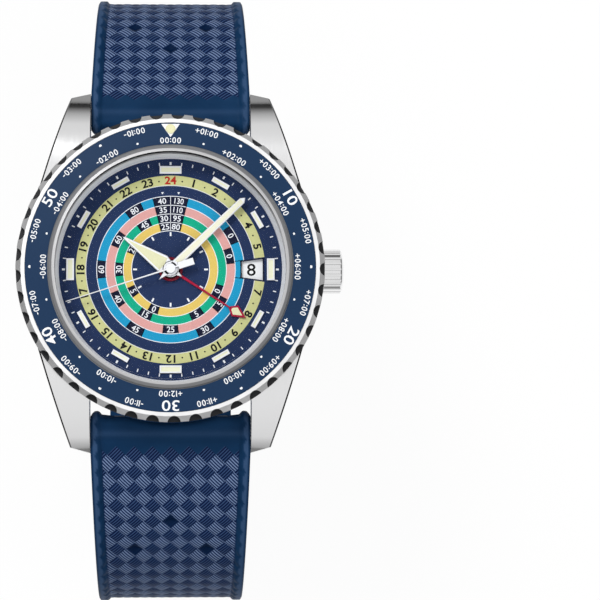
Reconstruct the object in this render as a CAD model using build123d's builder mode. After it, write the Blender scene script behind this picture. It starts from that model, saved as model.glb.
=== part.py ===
from build123d import *

import os
from math import atan2, cos, degrees, pi, radians, sin, sqrt

# World time wristwatch: a steel case with a turning bezel on a moulded two-piece strap, automatic movement.
# Millimetres. +Z points up out of the dial, +Y to 12 o'clock and +X to the crown at 3 o'clock.
# The origin is the middle of the case back's flat face, the one that lies on the wrist.

os.makedirs("parts", exist_ok=True)

# Shared by all cuts and fits
overrun = 0.5
running_gap = 0.05
seat_gap = 0.1

# Case and lugs: the other widths follow from the bore
case_bore_diameter = 31.2
case_lip_width = 0.3
case_edge_bevel = 0.5
neck_wall = 0.8
neck_height = 1.25
shoulder_width = 2.7
lug_reach = 4.08
lug_gap = 21.3
lug_tip_width = 2.6
lug_tip_setback = 0.7
lug_flank_bulge = 0.2
lug_root_y = 1.5
lug_root_inset = 1.0
lug_top_run = 9.8
lug_top_drop = 0.3
lug_tip_top = 3.3
lug_tip_bottom = 0.9
lug_belly_run = 7.8
lug_bevel = 0.2

# Heights of what is stacked inside the case, from the wrist up
back_flange_height = 1.5
back_floor = 1.0
rotor_clearance = 0.7
rotor_rim_height = 1.1
rotor_gap = 0.2
bridge_thickness = 0.6
train_height = 1.9
plate_thickness = 0.6
underdial_height = 0.7
dial_thickness = 0.4
flange_height = 1.2
lip_thickness = 0.6
seat_depth = 0.6

# Case back and its gasket
back_rim_width = 1.4
back_bevel = 0.5
back_neck_height = 1.0
back_neck_wall = 0.6
back_slot_count = 6
back_slot_width = 2.4
back_slot_depth = 1.3
gasket_section = 0.45

# Crystal and its gasket
crystal_seat_width = 0.3
crystal_edge_height = 2.6
crystal_dome = 1.1
crystal_wall = 1.3
crystal_edge_bevel = 0.4
crystal_cavity_height = 1.0
crystal_gasket_height = 0.5

# Flange ring round the dial
flange_top_width = 0.3
flange_lean = 0.5

# Bezel, its insert, its pip and its retaining spring
bezel_overhang = 0.35
bezel_play = 0.1
bezel_lip_thickness = 0.45
bezel_crystal_gap = 0.2
insert_margin = 1.25
insert_thickness = 0.45
insert_rise = 0.35
rim_bevel_width = 0.7
rim_bevel_height = 0.8
notch_count = 45
notch_radius = 0.84
notch_depth = 0.72
notch_phase = 2.7
notch_skirt = 0.6
pip_radius = 0.55
pip_height = 0.3
pip_inset = 0.9
spring_section = 0.3

# Dial, markers and hands
dial_clearance = 0.2
centre_hole_radius = 1.5
window_inset = 0.15
window_length = 2.8
window_inner_width = 2.1
window_outer_width = 2.85
marker_inset = 1.5
quarter_marker_length = 2.88
quarter_marker_width = 1.0
hour_marker_length = 2.42
hour_marker_width = 0.66
marker_height = 0.3
marker_frame = 0.2
lume_height = 0.24
hand_gap = 0.22
hand_thickness = 0.18
hand_boss_wall = 0.35
gmt_hand_short = 1.35
gmt_hand_width = 0.3
gmt_head_length = 2.6
gmt_head_width = 1.7
hour_hand_short = 5.6
hour_hand_width = 2.36
hour_hand_tail = 1.85
minute_hand_past = 0.4
minute_hand_width = 1.14
minute_tip_width = 0.86
minute_tip_length = 0.55
seconds_hand_past = 1.2
seconds_hand_width = 0.22
counterweight_length = 3.2
counterweight_width = 0.92
minute_hand_tail = 2.15
gmt_angle = 123.1
hour_angle = 304.1
minute_angle = 46.3
seconds_angle = 252.3

# Movement: plate, bridges, screws and jewels
holder_wall = 2.7
plate_flange = 0.5
plate_flange_thickness = 0.2
stem_slot_width = 2.2
post_radius = 0.8
post_inset = 1.2
bridge_split = 0.1
wheel_recess_depth = 0.25
screw_radius = 0.35
screw_head_radius = 0.7
screw_head_height = 0.28
screw_depth = 1.3
jewel_radius = 0.62
jewel_thickness = 0.22
pivot_radius = 0.15
clamp_count = 3
clamp_overlap = 0.3
clamp_width = 2.6
clamp_thickness = 0.3
clamp_screw_inset = 1.5

# Gear train
barrel_teeth = 72
centre_pinion_teeth = 12
barrel_angle = 100
barrel_height = 1.1
barrel_tooth_height = 0.35
centre_teeth = 64
third_pinion_teeth = 8
third_teeth = 60
fourth_pinion_teeth = 8
third_angle = -100
fourth_teeth = 72
escape_pinion_teeth = 8
escape_angle = -20
escape_teeth = 20
wheel_thickness = 0.18
spoke_count = 4
level_gap = 0.15
pallet_angle = -45
pallet_width = 0.3
balance_rim = 0.45
balance_height = 0.26
balance_staff_radius = 0.2
hairspring_inner_radius = 0.45
hairspring_pitch = 0.24
hairspring_turns = 5
hairspring_wire = 0.07
hairspring_height = 0.15

# Motion work under the dial
cannon_teeth = 12
minute_wheel_teeth = 36
minute_pinion_teeth = 10
hour_wheel_teeth = 40
minute_wheel_distance = 2.4
minute_wheel_angle = -60
hour_ring_teeth = 24
idler_teeth = 24
idler_pinion_teeth = 15
gmt_wheel_teeth = 30
idler_distance = 2.3
idler_angle = 135
thin_wheel = 0.12
thin_gap = 0.05
tube_wall = 0.25
centre_tube_bore = 0.2
centre_tube_radius = 0.4

# Date disc
date_disc_inset = 0.5
date_disc_margin = 0.25
date_disc_thickness = 0.18
date_count = 31
date_tooth_depth = 0.35

# Winding and setting work, crown
stem_radius = 0.45
clutch_length = 1.7
clutch_teeth = 16
clutch_tooth_depth = 0.22
crown_wheel_teeth = 31
ratchet_teeth = 54
crown_radius = 2.9
crown_gap = 0.15
crown_length = 2.6
crown_dome = 0.4
crown_bore_radius = 1.75
crown_bore_depth = 1.7
crown_flute_count = 24
crown_flute_radius = 0.22
crown_tube_radius = 1.2
crown_tube_bore = 0.6
crown_tube_length = 2.6
crown_tube_reach = 1.1
crown_gasket_thickness = 0.4

# Rotor
rotor_inset = 0.6
rotor_rim_width = 2.8
rotor_web = 0.4
rotor_hub_radius = 2.6
rotor_bore_radius = 1.5
bearing_radius = 1.4
bearing_flange = 1.9
bearing_flange_thickness = 0.25

# Strap and spring bars
strap_side_gap = 0.15
strap_narrowing = 1.5
strap_above = 1.75
strap_below = 1.15
strap_lead = 1.5
strap_lead_slope = 12
bar_inset = 2.0
bar_height = 2.5
bar_radius = 0.75
bar_tip_radius = 0.4
bar_tip_length = 0.9
bar_end_gap = 0.25
bar_hole_gap = 0.1
strap_12_run = 19.9
strap_12_bulge = 16.02
strap_12_turn_radius = 16.0
strap_6_run = 44.9
strap_6_bulge = 19.62
strap_floor = -49.0
tail_tip_radius = 6.0
tail_hole_count = 7
tail_hole_radius = 1.0
tail_hole_pitch = 6.0
tail_first_hole = 9.0

# Buckle and keepers
buckle_gap = 0.2
buckle_arm = 1.8
buckle_reach = 11.4
buckle_front = 2.2
buckle_thickness = 2.0
buckle_ear = 1.3
tongue_width = 2.6
tongue_slot = 3.2
tongue_ring_wall = 0.55
tongue_thickness = 0.9
tongue_overhang = 0.4
keeper_length = 4.5
keeper_wall = 1.0
keeper_gap = 0.12
fixed_keeper_start = 4.0
sliding_keeper_start = 11.0

# Widths worked out from the bore: first outwards to the lugs and the strap
crystal_diameter = case_bore_diameter + 2 * crystal_seat_width
neck_diameter = crystal_diameter + 2 * (crystal_gasket_height + neck_wall)
case_diameter = neck_diameter + 2 * shoulder_width
case_radius = case_diameter / 2
case_lip_diameter = case_bore_diameter - 2 * case_lip_width
back_diameter = case_bore_diameter + 2 * back_rim_width
lug_span = case_diameter + 2 * lug_reach
lug_tip_outer = lug_gap / 2 + lug_tip_width
lug_top_flat = lug_span / 2 - lug_top_run
lug_belly_y = lug_span / 2 - lug_belly_run
bar_y = lug_span / 2 - bar_inset
bezel_diameter = case_diameter + 2 * bezel_overhang
bezel_opening_diameter = crystal_diameter + 2 * bezel_crystal_gap
insert_diameter = bezel_diameter - 2 * insert_margin
pip_circle_radius = insert_diameter / 2 - pip_inset
strap_width = lug_gap - 2 * strap_side_gap
strap_tail_width = strap_width - 2 * strap_narrowing
strap_12_reach = lug_span / 2 + strap_12_bulge
strap_6_reach = lug_span / 2 + strap_6_bulge

# Then inwards to the dial, the hands and the movement
flange_diameter = case_bore_diameter - 2 * seat_gap
flange_top_diameter = flange_diameter - 2 * flange_top_width
flange_inner_diameter = flange_top_diameter - 2 * flange_lean
dial_diameter = case_bore_diameter - 2 * dial_clearance
marker_circle_radius = flange_inner_diameter / 2 - marker_inset
gmt_hand_length = marker_circle_radius - gmt_hand_short
hour_hand_length = marker_circle_radius - hour_hand_short
minute_hand_length = marker_circle_radius + minute_hand_past
seconds_hand_length = marker_circle_radius + seconds_hand_past
holder_diameter = case_bore_diameter - 2 * seat_gap
movement_diameter = holder_diameter - 2 * holder_wall
movement_radius = movement_diameter / 2
post_circle_radius = movement_radius - post_inset
clamp_inner_radius = movement_radius - clamp_overlap
clamp_screw_circle = holder_diameter / 2 - clamp_screw_inset
clamp_outer_radius = clamp_screw_circle + screw_head_radius
rotor_radius = movement_radius - rotor_inset
date_disc_outer = movement_radius - date_disc_inset
window_outer_radius = date_disc_outer - window_inset
window_inner_radius = window_outer_radius - window_length
date_disc_inner = window_inner_radius - date_disc_margin

# The wheels keep their places in the movement: all in one unit of its width
train_unit = movement_diameter / 128
barrel_distance = 32 * train_unit
third_distance = 19.25 * train_unit
escape_distance = 19 * train_unit
escape_radius = 10 * train_unit
escape_root_radius = 7.5 * train_unit
pallet_distance = 12.75 * train_unit
pallet_reach = 5.75 * train_unit
fork_length = 10.5 * train_unit
balance_distance = 14.75 * train_unit
balance_radius = 16.5 * train_unit
arbor_radius = 1.5 * train_unit
barrel_bridge_edge = 6 * train_unit
train_edge_top = 26 * train_unit
train_edge_bottom = 12.5 * train_unit
stem_start = 31 * train_unit
crown_wheel_x = 36 * train_unit
ratchet_module = train_unit

# Heights worked out from the stack
rotor_bottom = back_floor + rotor_clearance
rotor_top = rotor_bottom + rotor_rim_height
bridge_bottom = rotor_top + rotor_gap
bridge_top = bridge_bottom + bridge_thickness
plate_bottom = bridge_top + train_height
stem_height = (bridge_top + plate_bottom) / 2
clutch_radius = train_height / 2 - thin_gap
plate_top = plate_bottom + plate_thickness
dial_bottom = plate_top + underdial_height
dial_top = dial_bottom + dial_thickness
lip_bottom = dial_top + flange_height
crystal_seat = lip_bottom + lip_thickness
neck_top = crystal_seat + seat_depth
shoulder = neck_top - neck_height
insert_seat = neck_top + bezel_play + bezel_lip_thickness
rim_top = insert_seat + insert_thickness
gmt_hand_bottom = dial_top + hand_gap
hour_hand_bottom = gmt_hand_bottom + hand_thickness + hand_gap
minute_hand_bottom = hour_hand_bottom + hand_thickness + hand_gap
seconds_hand_bottom = minute_hand_bottom + hand_thickness + hand_gap
seconds_hand_top = seconds_hand_bottom + hand_thickness
fourth_bottom = bridge_top + level_gap
third_bottom = fourth_bottom + wheel_thickness + level_gap
barrel_bottom = third_bottom
barrel_top = barrel_bottom + barrel_height
centre_bottom = barrel_top + level_gap / 2
escape_bottom = barrel_top - barrel_tooth_height - wheel_thickness

# Radii of the tubes that nest round the centre
cannon_radius = centre_tube_radius + tube_wall
hour_tube_bore = cannon_radius + running_gap
hour_tube_radius = hour_tube_bore + tube_wall
gmt_tube_bore = hour_tube_radius + running_gap
gmt_tube_radius = gmt_tube_bore + tube_wall


def polar(radius, angle):
    """The point at a distance from the middle, with the angle in degrees from +X towards +Y."""
    return radius * cos(radians(angle)), radius * sin(radians(angle))


def clock(angle, height, centre=(0, 0)):
    """A level plane whose X axis points along a hand at a clock angle, clockwise from 12."""
    along = (sin(radians(angle)), cos(radians(angle)), 0)
    return Plane(origin=(centre[0], centre[1], height), x_dir=along, z_dir=(0, 0, 1))


def upright(radius, bottom, top, centre=(0, 0), mode=Mode.ADD):
    """Adds or cuts an upright cylinder between two heights."""
    with Locations((centre[0], centre[1], bottom)):
        Cylinder(radius, top - bottom, align=(Align.CENTER, Align.CENTER, Align.MIN), mode=mode)


def collar(outer, inner, bottom, top, centre=(0, 0)):
    """Adds an upright ring between two heights."""
    with BuildSketch(Plane((centre[0], centre[1], bottom))) as outline:
        Circle(outer)
        Circle(inner, mode=Mode.SUBTRACT)
    extrude(outline.sketch, amount=top - bottom)


def tooth_points(teeth, pitch_radius, tooth_at, internal=False):
    """Corners of a toothed outline whose straight-sided teeth have one centred at tooth_at."""
    module = 2 * pitch_radius / teeth
    out_share, root_share, tip_share, base_share = 0.9, 1.15, 0.13, 0.25
    tip = pitch_radius + out_share * module
    root = pitch_radius - root_share * module
    if internal:
        tip, root = pitch_radius, pitch_radius + date_tooth_depth
    points = []
    for number in range(teeth):
        middle = tooth_at + 360 / teeth * number
        for radius, side in ((root, -base_share), (tip, -tip_share), (tip, tip_share), (root, base_share)):
            points.append(polar(radius, middle + side * 360 / teeth))
    return points


def toothed(teeth, pitch_radius, tooth_at, bottom, top, centre=(0, 0), bore=0):
    """Adds a toothed wheel between two heights, with a round bore if one is given."""
    with BuildSketch(Plane((centre[0], centre[1], bottom))) as outline:
        with BuildLine():
            Polyline(*tooth_points(teeth, pitch_radius, tooth_at), close=True)
        make_face()
        if bore:
            Circle(bore, mode=Mode.SUBTRACT)
    extrude(outline.sketch, amount=top - bottom)


def lighten(pitch_radius, bottom, top, centre=(0, 0)):
    """Cuts the round windows between the spokes of the wheel being built."""
    window_share, circle_share = 0.25, 0.58
    window = pitch_radius * window_share
    with Locations(Plane((centre[0], centre[1], bottom))):
        with PolarLocations(pitch_radius * circle_share, spoke_count):
            Cylinder(window, top - bottom, align=(Align.CENTER, Align.CENTER, Align.MIN), mode=Mode.SUBTRACT)


def mesh(driver_teeth, driven_teeth, distance):
    """The pitch radii of two wheels that mesh at a distance between their centres."""
    module = 2 * distance / (driver_teeth + driven_teeth)
    return driver_teeth * module / 2, driven_teeth * module / 2


def write(builder, name):
    """Labels a finished piece and writes its file."""
    builder.part.label = name
    export_step(builder.part, f"parts/{name}.step")


# Mid case: barrel, four lugs, neck for the bezel and the bores for movement, crystal and crown
flank_top_y = lug_span / 2 - lug_tip_setback
crown_tube_start = case_radius - crown_tube_length + crown_tube_reach

with BuildPart() as mid_case:
    with BuildSketch(Plane.XY.offset(lug_tip_bottom - overrun)):
        with BuildLine():
            Line((lug_gap / 2, 0), (lug_gap / 2, lug_span / 2))
            Line((lug_gap / 2, lug_span / 2), (lug_tip_outer, flank_top_y))
            SagittaArc((lug_tip_outer, flank_top_y), (case_radius, lug_root_y), lug_flank_bulge)
            Polyline((case_radius, lug_root_y), (case_radius - lug_root_inset, 0), (lug_gap / 2, 0))
        make_face()
        mirror(about=Plane.XZ)
        mirror(about=Plane.YZ)
    extrude(amount=shoulder - lug_tip_bottom + 2 * overrun)
    with BuildSketch(Plane.YZ):
        with BuildLine():
            flat_end = (lug_top_flat, shoulder - lug_top_drop)
            Line((0, shoulder), flat_end)
            tip_top = (lug_span / 2, lug_tip_top)
            TangentArc(flat_end, tip_top, tangent=(lug_top_flat, -lug_top_drop))
            Line(tip_top, (lug_span / 2, lug_tip_bottom))
            ThreePointArc(
                (lug_span / 2, lug_tip_bottom),
                ((lug_span / 2 + lug_belly_y) / 2, (lug_tip_bottom + back_flange_height) / 2 - bar_end_gap),
                (lug_belly_y, back_flange_height),
            )
            Polyline((lug_belly_y, back_flange_height), (0, back_flange_height), (0, shoulder))
        make_face()
        mirror(about=Plane.YZ)
    extrude(amount=case_radius + overrun, both=True, mode=Mode.INTERSECT)
    flank_edges = mid_case.edges().filter_by(
        lambda edge: edge.center().Z > lug_tip_top
        and edge.geom_type != GeomType.LINE
        and abs(edge.center().X) > lug_tip_outer
    )
    chamfer(flank_edges, lug_bevel)
    with BuildSketch(Plane.XZ):
        with BuildLine():
            Polyline(
                (case_bore_diameter / 2, back_flange_height),
                (case_radius - case_edge_bevel, back_flange_height),
                (case_radius, back_flange_height + case_edge_bevel),
                (case_radius, shoulder),
                (neck_diameter / 2, shoulder),
                (neck_diameter / 2, neck_top),
                (crystal_diameter / 2 + crystal_gasket_height, neck_top),
                (crystal_diameter / 2 + crystal_gasket_height, crystal_seat),
                (case_lip_diameter / 2, crystal_seat),
                (case_lip_diameter / 2, lip_bottom),
                (case_bore_diameter / 2, lip_bottom),
                close=True,
            )
        make_face()
    revolve(axis=Axis.Z)
    upright(case_bore_diameter / 2, back_flange_height - overrun, lip_bottom, mode=Mode.SUBTRACT)
    # groove for the case back's gasket
    with BuildSketch(Plane.XZ):
        with Locations((case_bore_diameter / 2, back_flange_height)):
            Rectangle(2 * gasket_section, 2 * gasket_section, align=(Align.MIN, Align.CENTER))
    revolve(axis=Axis.Z, mode=Mode.SUBTRACT)
    # groove for the bezel's retaining spring
    with BuildSketch(Plane.XZ):
        with Locations((neck_diameter / 2, shoulder + neck_height / 2)):
            Rectangle(2 * spring_section, spring_section + 2 * running_gap)
    revolve(axis=Axis.Z, mode=Mode.SUBTRACT)
    # bore for the crown tube
    with Locations(Plane(origin=(crown_tube_start, 0, stem_height), z_dir=(1, 0, 0))):
        Cylinder(
            crown_tube_radius,
            crown_tube_length + overrun,
            align=(Align.CENTER, Align.CENTER, Align.MIN),
            mode=Mode.SUBTRACT,
        )
    with Locations(Plane(origin=(0, 0, stem_height), z_dir=(1, 0, 0))):
        Cylinder(
            crown_tube_bore,
            case_radius,
            align=(Align.CENTER, Align.CENTER, Align.MIN),
            mode=Mode.SUBTRACT,
        )
    # holes for the tips of the spring bars
    with Locations((0, bar_y, bar_height), (0, -bar_y, bar_height)):
        Cylinder(
            bar_tip_radius + running_gap,
            lug_gap + 2 * bar_tip_length,
            rotation=(0, 90, 0),
            mode=Mode.SUBTRACT,
        )
write(mid_case, "mid_case")

# Screwed case back with wrench slots round its edge
back_neck_radius = case_bore_diameter / 2 - seat_gap
back_bore_radius = back_neck_radius - back_neck_wall

with BuildPart() as case_back:
    upright(back_diameter / 2, 0, back_flange_height)
    chamfer(case_back.edges().group_by(Axis.Z)[0], back_bevel)
    collar(back_neck_radius, back_bore_radius, back_flange_height, back_flange_height + back_neck_height)
    upright(back_bore_radius, back_floor, back_flange_height, mode=Mode.SUBTRACT)
    with PolarLocations(back_diameter / 2, back_slot_count):
        Box(
            back_slot_depth,
            back_slot_width,
            back_floor,
            mode=Mode.SUBTRACT,
        )
write(case_back, "case_back")

with BuildPart() as case_back_gasket:
    gasket_start = case_bore_diameter / 2 + seat_gap
    gasket_end = gasket_start + gasket_section
    collar(gasket_end, gasket_start, back_flange_height, back_flange_height + gasket_section)
write(case_back_gasket, "case_back_gasket")

# Crystal: a domed box of sapphire, hollow underneath
crystal_radius = crystal_diameter / 2
crystal_edge_top = crystal_seat + crystal_edge_height
cavity_radius = crystal_radius - crystal_wall
cavity_edge = crystal_seat + crystal_cavity_height


def dome_height(rim_radius, rise, radius):
    """Height above its rim, at a radius, of a spherical dome."""
    sphere = (rim_radius**2 + rise**2) / (2 * rise)
    return rise - sphere + sqrt(sphere**2 - radius**2)


with BuildPart() as crystal:
    with BuildSketch(Plane.XZ):
        with BuildLine():
            dome_top = (0, crystal_edge_top + crystal_dome)
            dome_rim = crystal_radius - crystal_edge_bevel
            dome_middle = crystal_edge_top + dome_height(dome_rim, crystal_dome, dome_rim / 2)
            cavity_top = (0, cavity_edge + crystal_dome)
            cavity_middle = cavity_edge + dome_height(cavity_radius, crystal_dome, cavity_radius / 2)
            Polyline(
                (crystal_radius, crystal_seat),
                (crystal_radius, crystal_edge_top - crystal_edge_bevel),
                (dome_rim, crystal_edge_top),
            )
            ThreePointArc((dome_rim, crystal_edge_top), (dome_rim / 2, dome_middle), dome_top)
            Line(dome_top, cavity_top)
            ThreePointArc(cavity_top, (cavity_radius / 2, cavity_middle), (cavity_radius, cavity_edge))
            Line((cavity_radius, cavity_edge), (cavity_radius, crystal_seat))
            Line((cavity_radius, crystal_seat), (crystal_radius, crystal_seat))
        make_face()
    revolve(axis=Axis.Z)
write(crystal, "crystal")

with BuildPart() as crystal_gasket:
    collar(crystal_radius + crystal_gasket_height, crystal_radius, crystal_seat, neck_top)
write(crystal_gasket, "crystal_gasket")

# Polished flange ring that stands on the dial's edge under the case's lip
with BuildPart() as flange_ring:
    with BuildSketch(Plane.XZ):
        with BuildLine():
            Polyline(
                (flange_inner_diameter / 2, dial_top),
                (flange_diameter / 2, dial_top),
                (flange_diameter / 2, lip_bottom),
                (flange_top_diameter / 2, lip_bottom),
                (flange_inner_diameter / 2, dial_top + hand_thickness),
                close=True,
            )
        make_face()
    revolve(axis=Axis.Z)
write(flange_ring, "flange_ring")

# Turning bezel: a notched ring that runs round the case's neck
bezel_radius = bezel_diameter / 2
bezel_bore = neck_diameter / 2 + bezel_play
insert_radius = insert_diameter / 2
bezel_opening = bezel_opening_diameter / 2
spring_height = shoulder + neck_height / 2

with BuildPart() as bezel_ring:
    with BuildSketch(Plane.XZ):
        with BuildLine():
            Polyline(
                (bezel_bore, shoulder + bezel_play),
                (bezel_radius - rim_bevel_width / 2, shoulder + bezel_play),
                (bezel_radius, shoulder + bezel_play + rim_bevel_height / 2),
                (bezel_radius, rim_top - rim_bevel_height),
                (bezel_radius - rim_bevel_width, rim_top),
                (insert_radius + running_gap, rim_top),
                (insert_radius + running_gap, insert_seat),
                (bezel_opening, insert_seat),
                (bezel_opening, insert_seat - bezel_lip_thickness),
                (bezel_bore, insert_seat - bezel_lip_thickness),
                close=True,
            )
        make_face()
    revolve(axis=Axis.Z)
    with BuildSketch(Plane.XZ):
        with Locations((bezel_bore, spring_height)):
            Rectangle(2 * spring_section, spring_section + 2 * running_gap)
    revolve(axis=Axis.Z, mode=Mode.SUBTRACT)
    notch_bottom = shoulder + bezel_play + notch_skirt
    with Locations(Plane.XY.offset(notch_bottom)):
        notch_start = 90 - notch_phase
        with PolarLocations(bezel_radius + notch_radius - notch_depth, notch_count, notch_start):
            Cylinder(
                notch_radius,
                rim_top - notch_bottom + overrun,
                align=(Align.CENTER, Align.CENTER, Align.MIN),
                mode=Mode.SUBTRACT,
            )
write(bezel_ring, "bezel_ring")

with BuildPart() as bezel_insert:
    with BuildSketch(Plane.XZ):
        with BuildLine():
            Polyline(
                (bezel_opening, insert_seat),
                (insert_radius, insert_seat),
                (insert_radius, rim_top),
                (bezel_opening, rim_top + insert_rise),
                close=True,
            )
        make_face()
    revolve(axis=Axis.Z)
    upright(
        pip_radius, insert_seat + pip_height / 2, rim_top + insert_rise, (0, pip_circle_radius), Mode.SUBTRACT
    )
write(bezel_insert, "bezel_insert")

with BuildPart() as bezel_pip:
    upright(pip_radius, insert_seat + pip_height / 2, rim_top + pip_height, (0, pip_circle_radius))
write(bezel_pip, "bezel_pip")

with BuildPart() as bezel_spring:
    spring_inner = neck_diameter / 2 - spring_section / 2
    spring_bottom = spring_height - spring_section / 2
    collar(spring_inner + spring_section, spring_inner, spring_bottom, spring_bottom + spring_section)
write(bezel_spring, "bezel_spring")

# Dial with its centre hole and the date window at 3
with BuildPart() as dial:
    upright(dial_diameter / 2, dial_bottom, dial_top)
    upright(centre_hole_radius, dial_bottom, dial_top, mode=Mode.SUBTRACT)
    with BuildSketch(Plane.XY.offset(dial_bottom)):
        with BuildLine():
            Polyline(
                (window_inner_radius, -window_inner_width / 2),
                (window_outer_radius, -window_outer_width / 2),
                (window_outer_radius, window_outer_width / 2),
                (window_inner_radius, window_inner_width / 2),
                close=True,
            )
        make_face()
    extrude(amount=dial_thickness, mode=Mode.SUBTRACT)
write(dial, "dial")

# Applied hour markers: twelve steel frames, each holding a block of luminous paint
with BuildPart() as hour_markers:
    for hour in range(12):
        quarter = hour % 3 == 0
        length = quarter_marker_length if quarter else hour_marker_length
        width = quarter_marker_width if quarter else hour_marker_width
        with BuildSketch(clock(30 * hour, dial_top)) as frame_outline:
            with Locations((marker_circle_radius, 0)):
                Rectangle(width, length)
                Rectangle(width - 2 * marker_frame, length - 2 * marker_frame, mode=Mode.SUBTRACT)
        extrude(frame_outline.sketch, amount=marker_height)
write(hour_markers, "hour_markers")

with BuildPart() as marker_lume:
    for hour in range(12):
        quarter = hour % 3 == 0
        length = quarter_marker_length if quarter else hour_marker_length
        width = quarter_marker_width if quarter else hour_marker_width
        with BuildSketch(clock(30 * hour, dial_top)) as lume_outline:
            with Locations((marker_circle_radius, 0)):
                Rectangle(width - 2 * marker_frame, length - 2 * marker_frame)
        extrude(lume_outline.sketch, amount=lume_height)
write(marker_lume, "marker_lume")

# Hands, from the dial up: the 24-hour hand, the hour hand, the minute hand and the seconds hand
with BuildPart() as gmt_hand:
    head_start = gmt_hand_length - gmt_head_length
    with BuildSketch(clock(gmt_angle, gmt_hand_bottom)):
        Circle(gmt_tube_radius + hand_boss_wall)
        with Locations((head_start / 2, 0)):
            Rectangle(head_start + gmt_hand_width, gmt_hand_width)
        with BuildLine():
            Polyline(
                (gmt_hand_length, 0),
                (head_start + gmt_head_width / 2, gmt_head_width / 2),
                (head_start, 0),
                (head_start + gmt_head_width / 2, -gmt_head_width / 2),
                close=True,
            )
        make_face()
        Circle(gmt_tube_radius, mode=Mode.SUBTRACT)
    extrude(amount=hand_thickness)
write(gmt_hand, "gmt_hand")

with BuildPart() as hour_hand:
    with BuildSketch(clock(hour_angle, hour_hand_bottom)):
        Circle(hour_tube_radius + hand_boss_wall)
        with BuildLine():
            Polyline(
                (-hour_hand_tail, 0),
                (hour_tube_radius + hand_boss_wall, hour_hand_width / 2),
                (hour_hand_length, 0),
                (hour_tube_radius + hand_boss_wall, -hour_hand_width / 2),
                close=True,
            )
        make_face()
        Circle(hour_tube_radius, mode=Mode.SUBTRACT)
    extrude(amount=hand_thickness)
write(hour_hand, "hour_hand")

with BuildPart() as minute_hand:
    with BuildSketch(clock(minute_angle, minute_hand_bottom)):
        Circle(cannon_radius + hand_boss_wall)
        with BuildLine():
            Polyline(
                (-minute_hand_tail, 0),
                (0, minute_hand_width / 2),
                (minute_hand_length - minute_tip_length, minute_tip_width / 2),
                (minute_hand_length, 0),
                (minute_hand_length - minute_tip_length, -minute_tip_width / 2),
                (0, -minute_hand_width / 2),
                close=True,
            )
        make_face()
        Circle(cannon_radius, mode=Mode.SUBTRACT)
    extrude(amount=hand_thickness)
write(minute_hand, "minute_hand")

with BuildPart() as seconds_hand:
    with BuildSketch(clock(seconds_angle, seconds_hand_bottom)):
        Circle(pivot_radius + hand_boss_wall)
        with Locations((seconds_hand_length / 2, 0)):
            Rectangle(seconds_hand_length, seconds_hand_width)
        with Locations((-counterweight_length / 2, 0)):
            Rectangle(counterweight_length, seconds_hand_width)
        with Locations((-counterweight_length * 2 / 3, 0)):
            Rectangle(counterweight_length * 2 / 3, counterweight_width)
        Circle(pivot_radius, mode=Mode.SUBTRACT)
    extrude(amount=hand_thickness)
write(seconds_hand, "seconds_hand")

# Places of the wheels, and the pitch radii of each pair in mesh
barrel_at = polar(barrel_distance, barrel_angle)
third_at = polar(third_distance, third_angle)
escape_at = polar(escape_distance, escape_angle)
pallet_offset = polar(pallet_distance, pallet_angle)
pallet_at = (escape_at[0] + pallet_offset[0], escape_at[1] + pallet_offset[1])
balance_offset = polar(balance_distance, pallet_angle)
balance_at = (pallet_at[0] + balance_offset[0], pallet_at[1] + balance_offset[1])
minute_wheel_at = polar(minute_wheel_distance, minute_wheel_angle)
idler_at = polar(idler_distance, idler_angle)
barrel_pitch, centre_pinion_pitch = mesh(barrel_teeth, centre_pinion_teeth, barrel_distance)
centre_pitch, third_pinion_pitch = mesh(centre_teeth, third_pinion_teeth, third_distance)
third_pitch, fourth_pinion_pitch = mesh(third_teeth, fourth_pinion_teeth, third_distance)
fourth_pitch, escape_pinion_pitch = mesh(fourth_teeth, escape_pinion_teeth, escape_distance)
cannon_pitch, minute_wheel_pitch = mesh(cannon_teeth, minute_wheel_teeth, minute_wheel_distance)
minute_pinion_pitch, hour_wheel_pitch = mesh(minute_pinion_teeth, hour_wheel_teeth, minute_wheel_distance)
hour_ring_pitch, idler_pitch = mesh(hour_ring_teeth, idler_teeth, idler_distance)
idler_pinion_pitch, gmt_wheel_pitch = mesh(idler_pinion_teeth, gmt_wheel_teeth, idler_distance)
ratchet_pitch = ratchet_teeth * ratchet_module / 2
crown_wheel_pitch = crown_wheel_teeth * ratchet_module / 2
crown_wheel_run = crown_wheel_x - barrel_at[0]
crown_wheel_drop = sqrt((ratchet_pitch + crown_wheel_pitch) ** 2 - crown_wheel_run**2)
crown_wheel_at = (crown_wheel_x, barrel_at[1] - crown_wheel_drop)
crown_wheel_angle = degrees(atan2(-crown_wheel_drop, crown_wheel_run))

# Mainplate: a disc under the dial with posts that carry the bridges
barrel_post_angles = (12, 60, 150, 171)
train_post_angles = (200, 240, 275)
balance_post_angles = (300, 349)
post_angles = barrel_post_angles + train_post_angles + balance_post_angles
pivot_points = ((0, 0), third_at, escape_at)

with BuildPart() as mainplate:
    upright(movement_radius, plate_bottom, plate_top)
    upright(movement_radius + plate_flange, plate_top - plate_flange_thickness, plate_top)
    for angle in post_angles:
        point = polar(post_circle_radius, angle)
        upright(post_radius, bridge_top, plate_bottom, point)
        upright(screw_radius, bridge_top, bridge_top + screw_depth, point, Mode.SUBTRACT)
    upright(centre_tube_radius + running_gap, plate_bottom, plate_top, mode=Mode.SUBTRACT)
    for point in (third_at, escape_at, balance_at, pallet_at, barrel_at):
        upright(arbor_radius + running_gap, plate_bottom, plate_top, point, Mode.SUBTRACT)
    # studs for the minute wheel and the 24-hour idler
    for point in (minute_wheel_at, idler_at):
        upright(pivot_radius, plate_top, dial_bottom - thin_gap, point)
write(mainplate, "mainplate")

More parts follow.
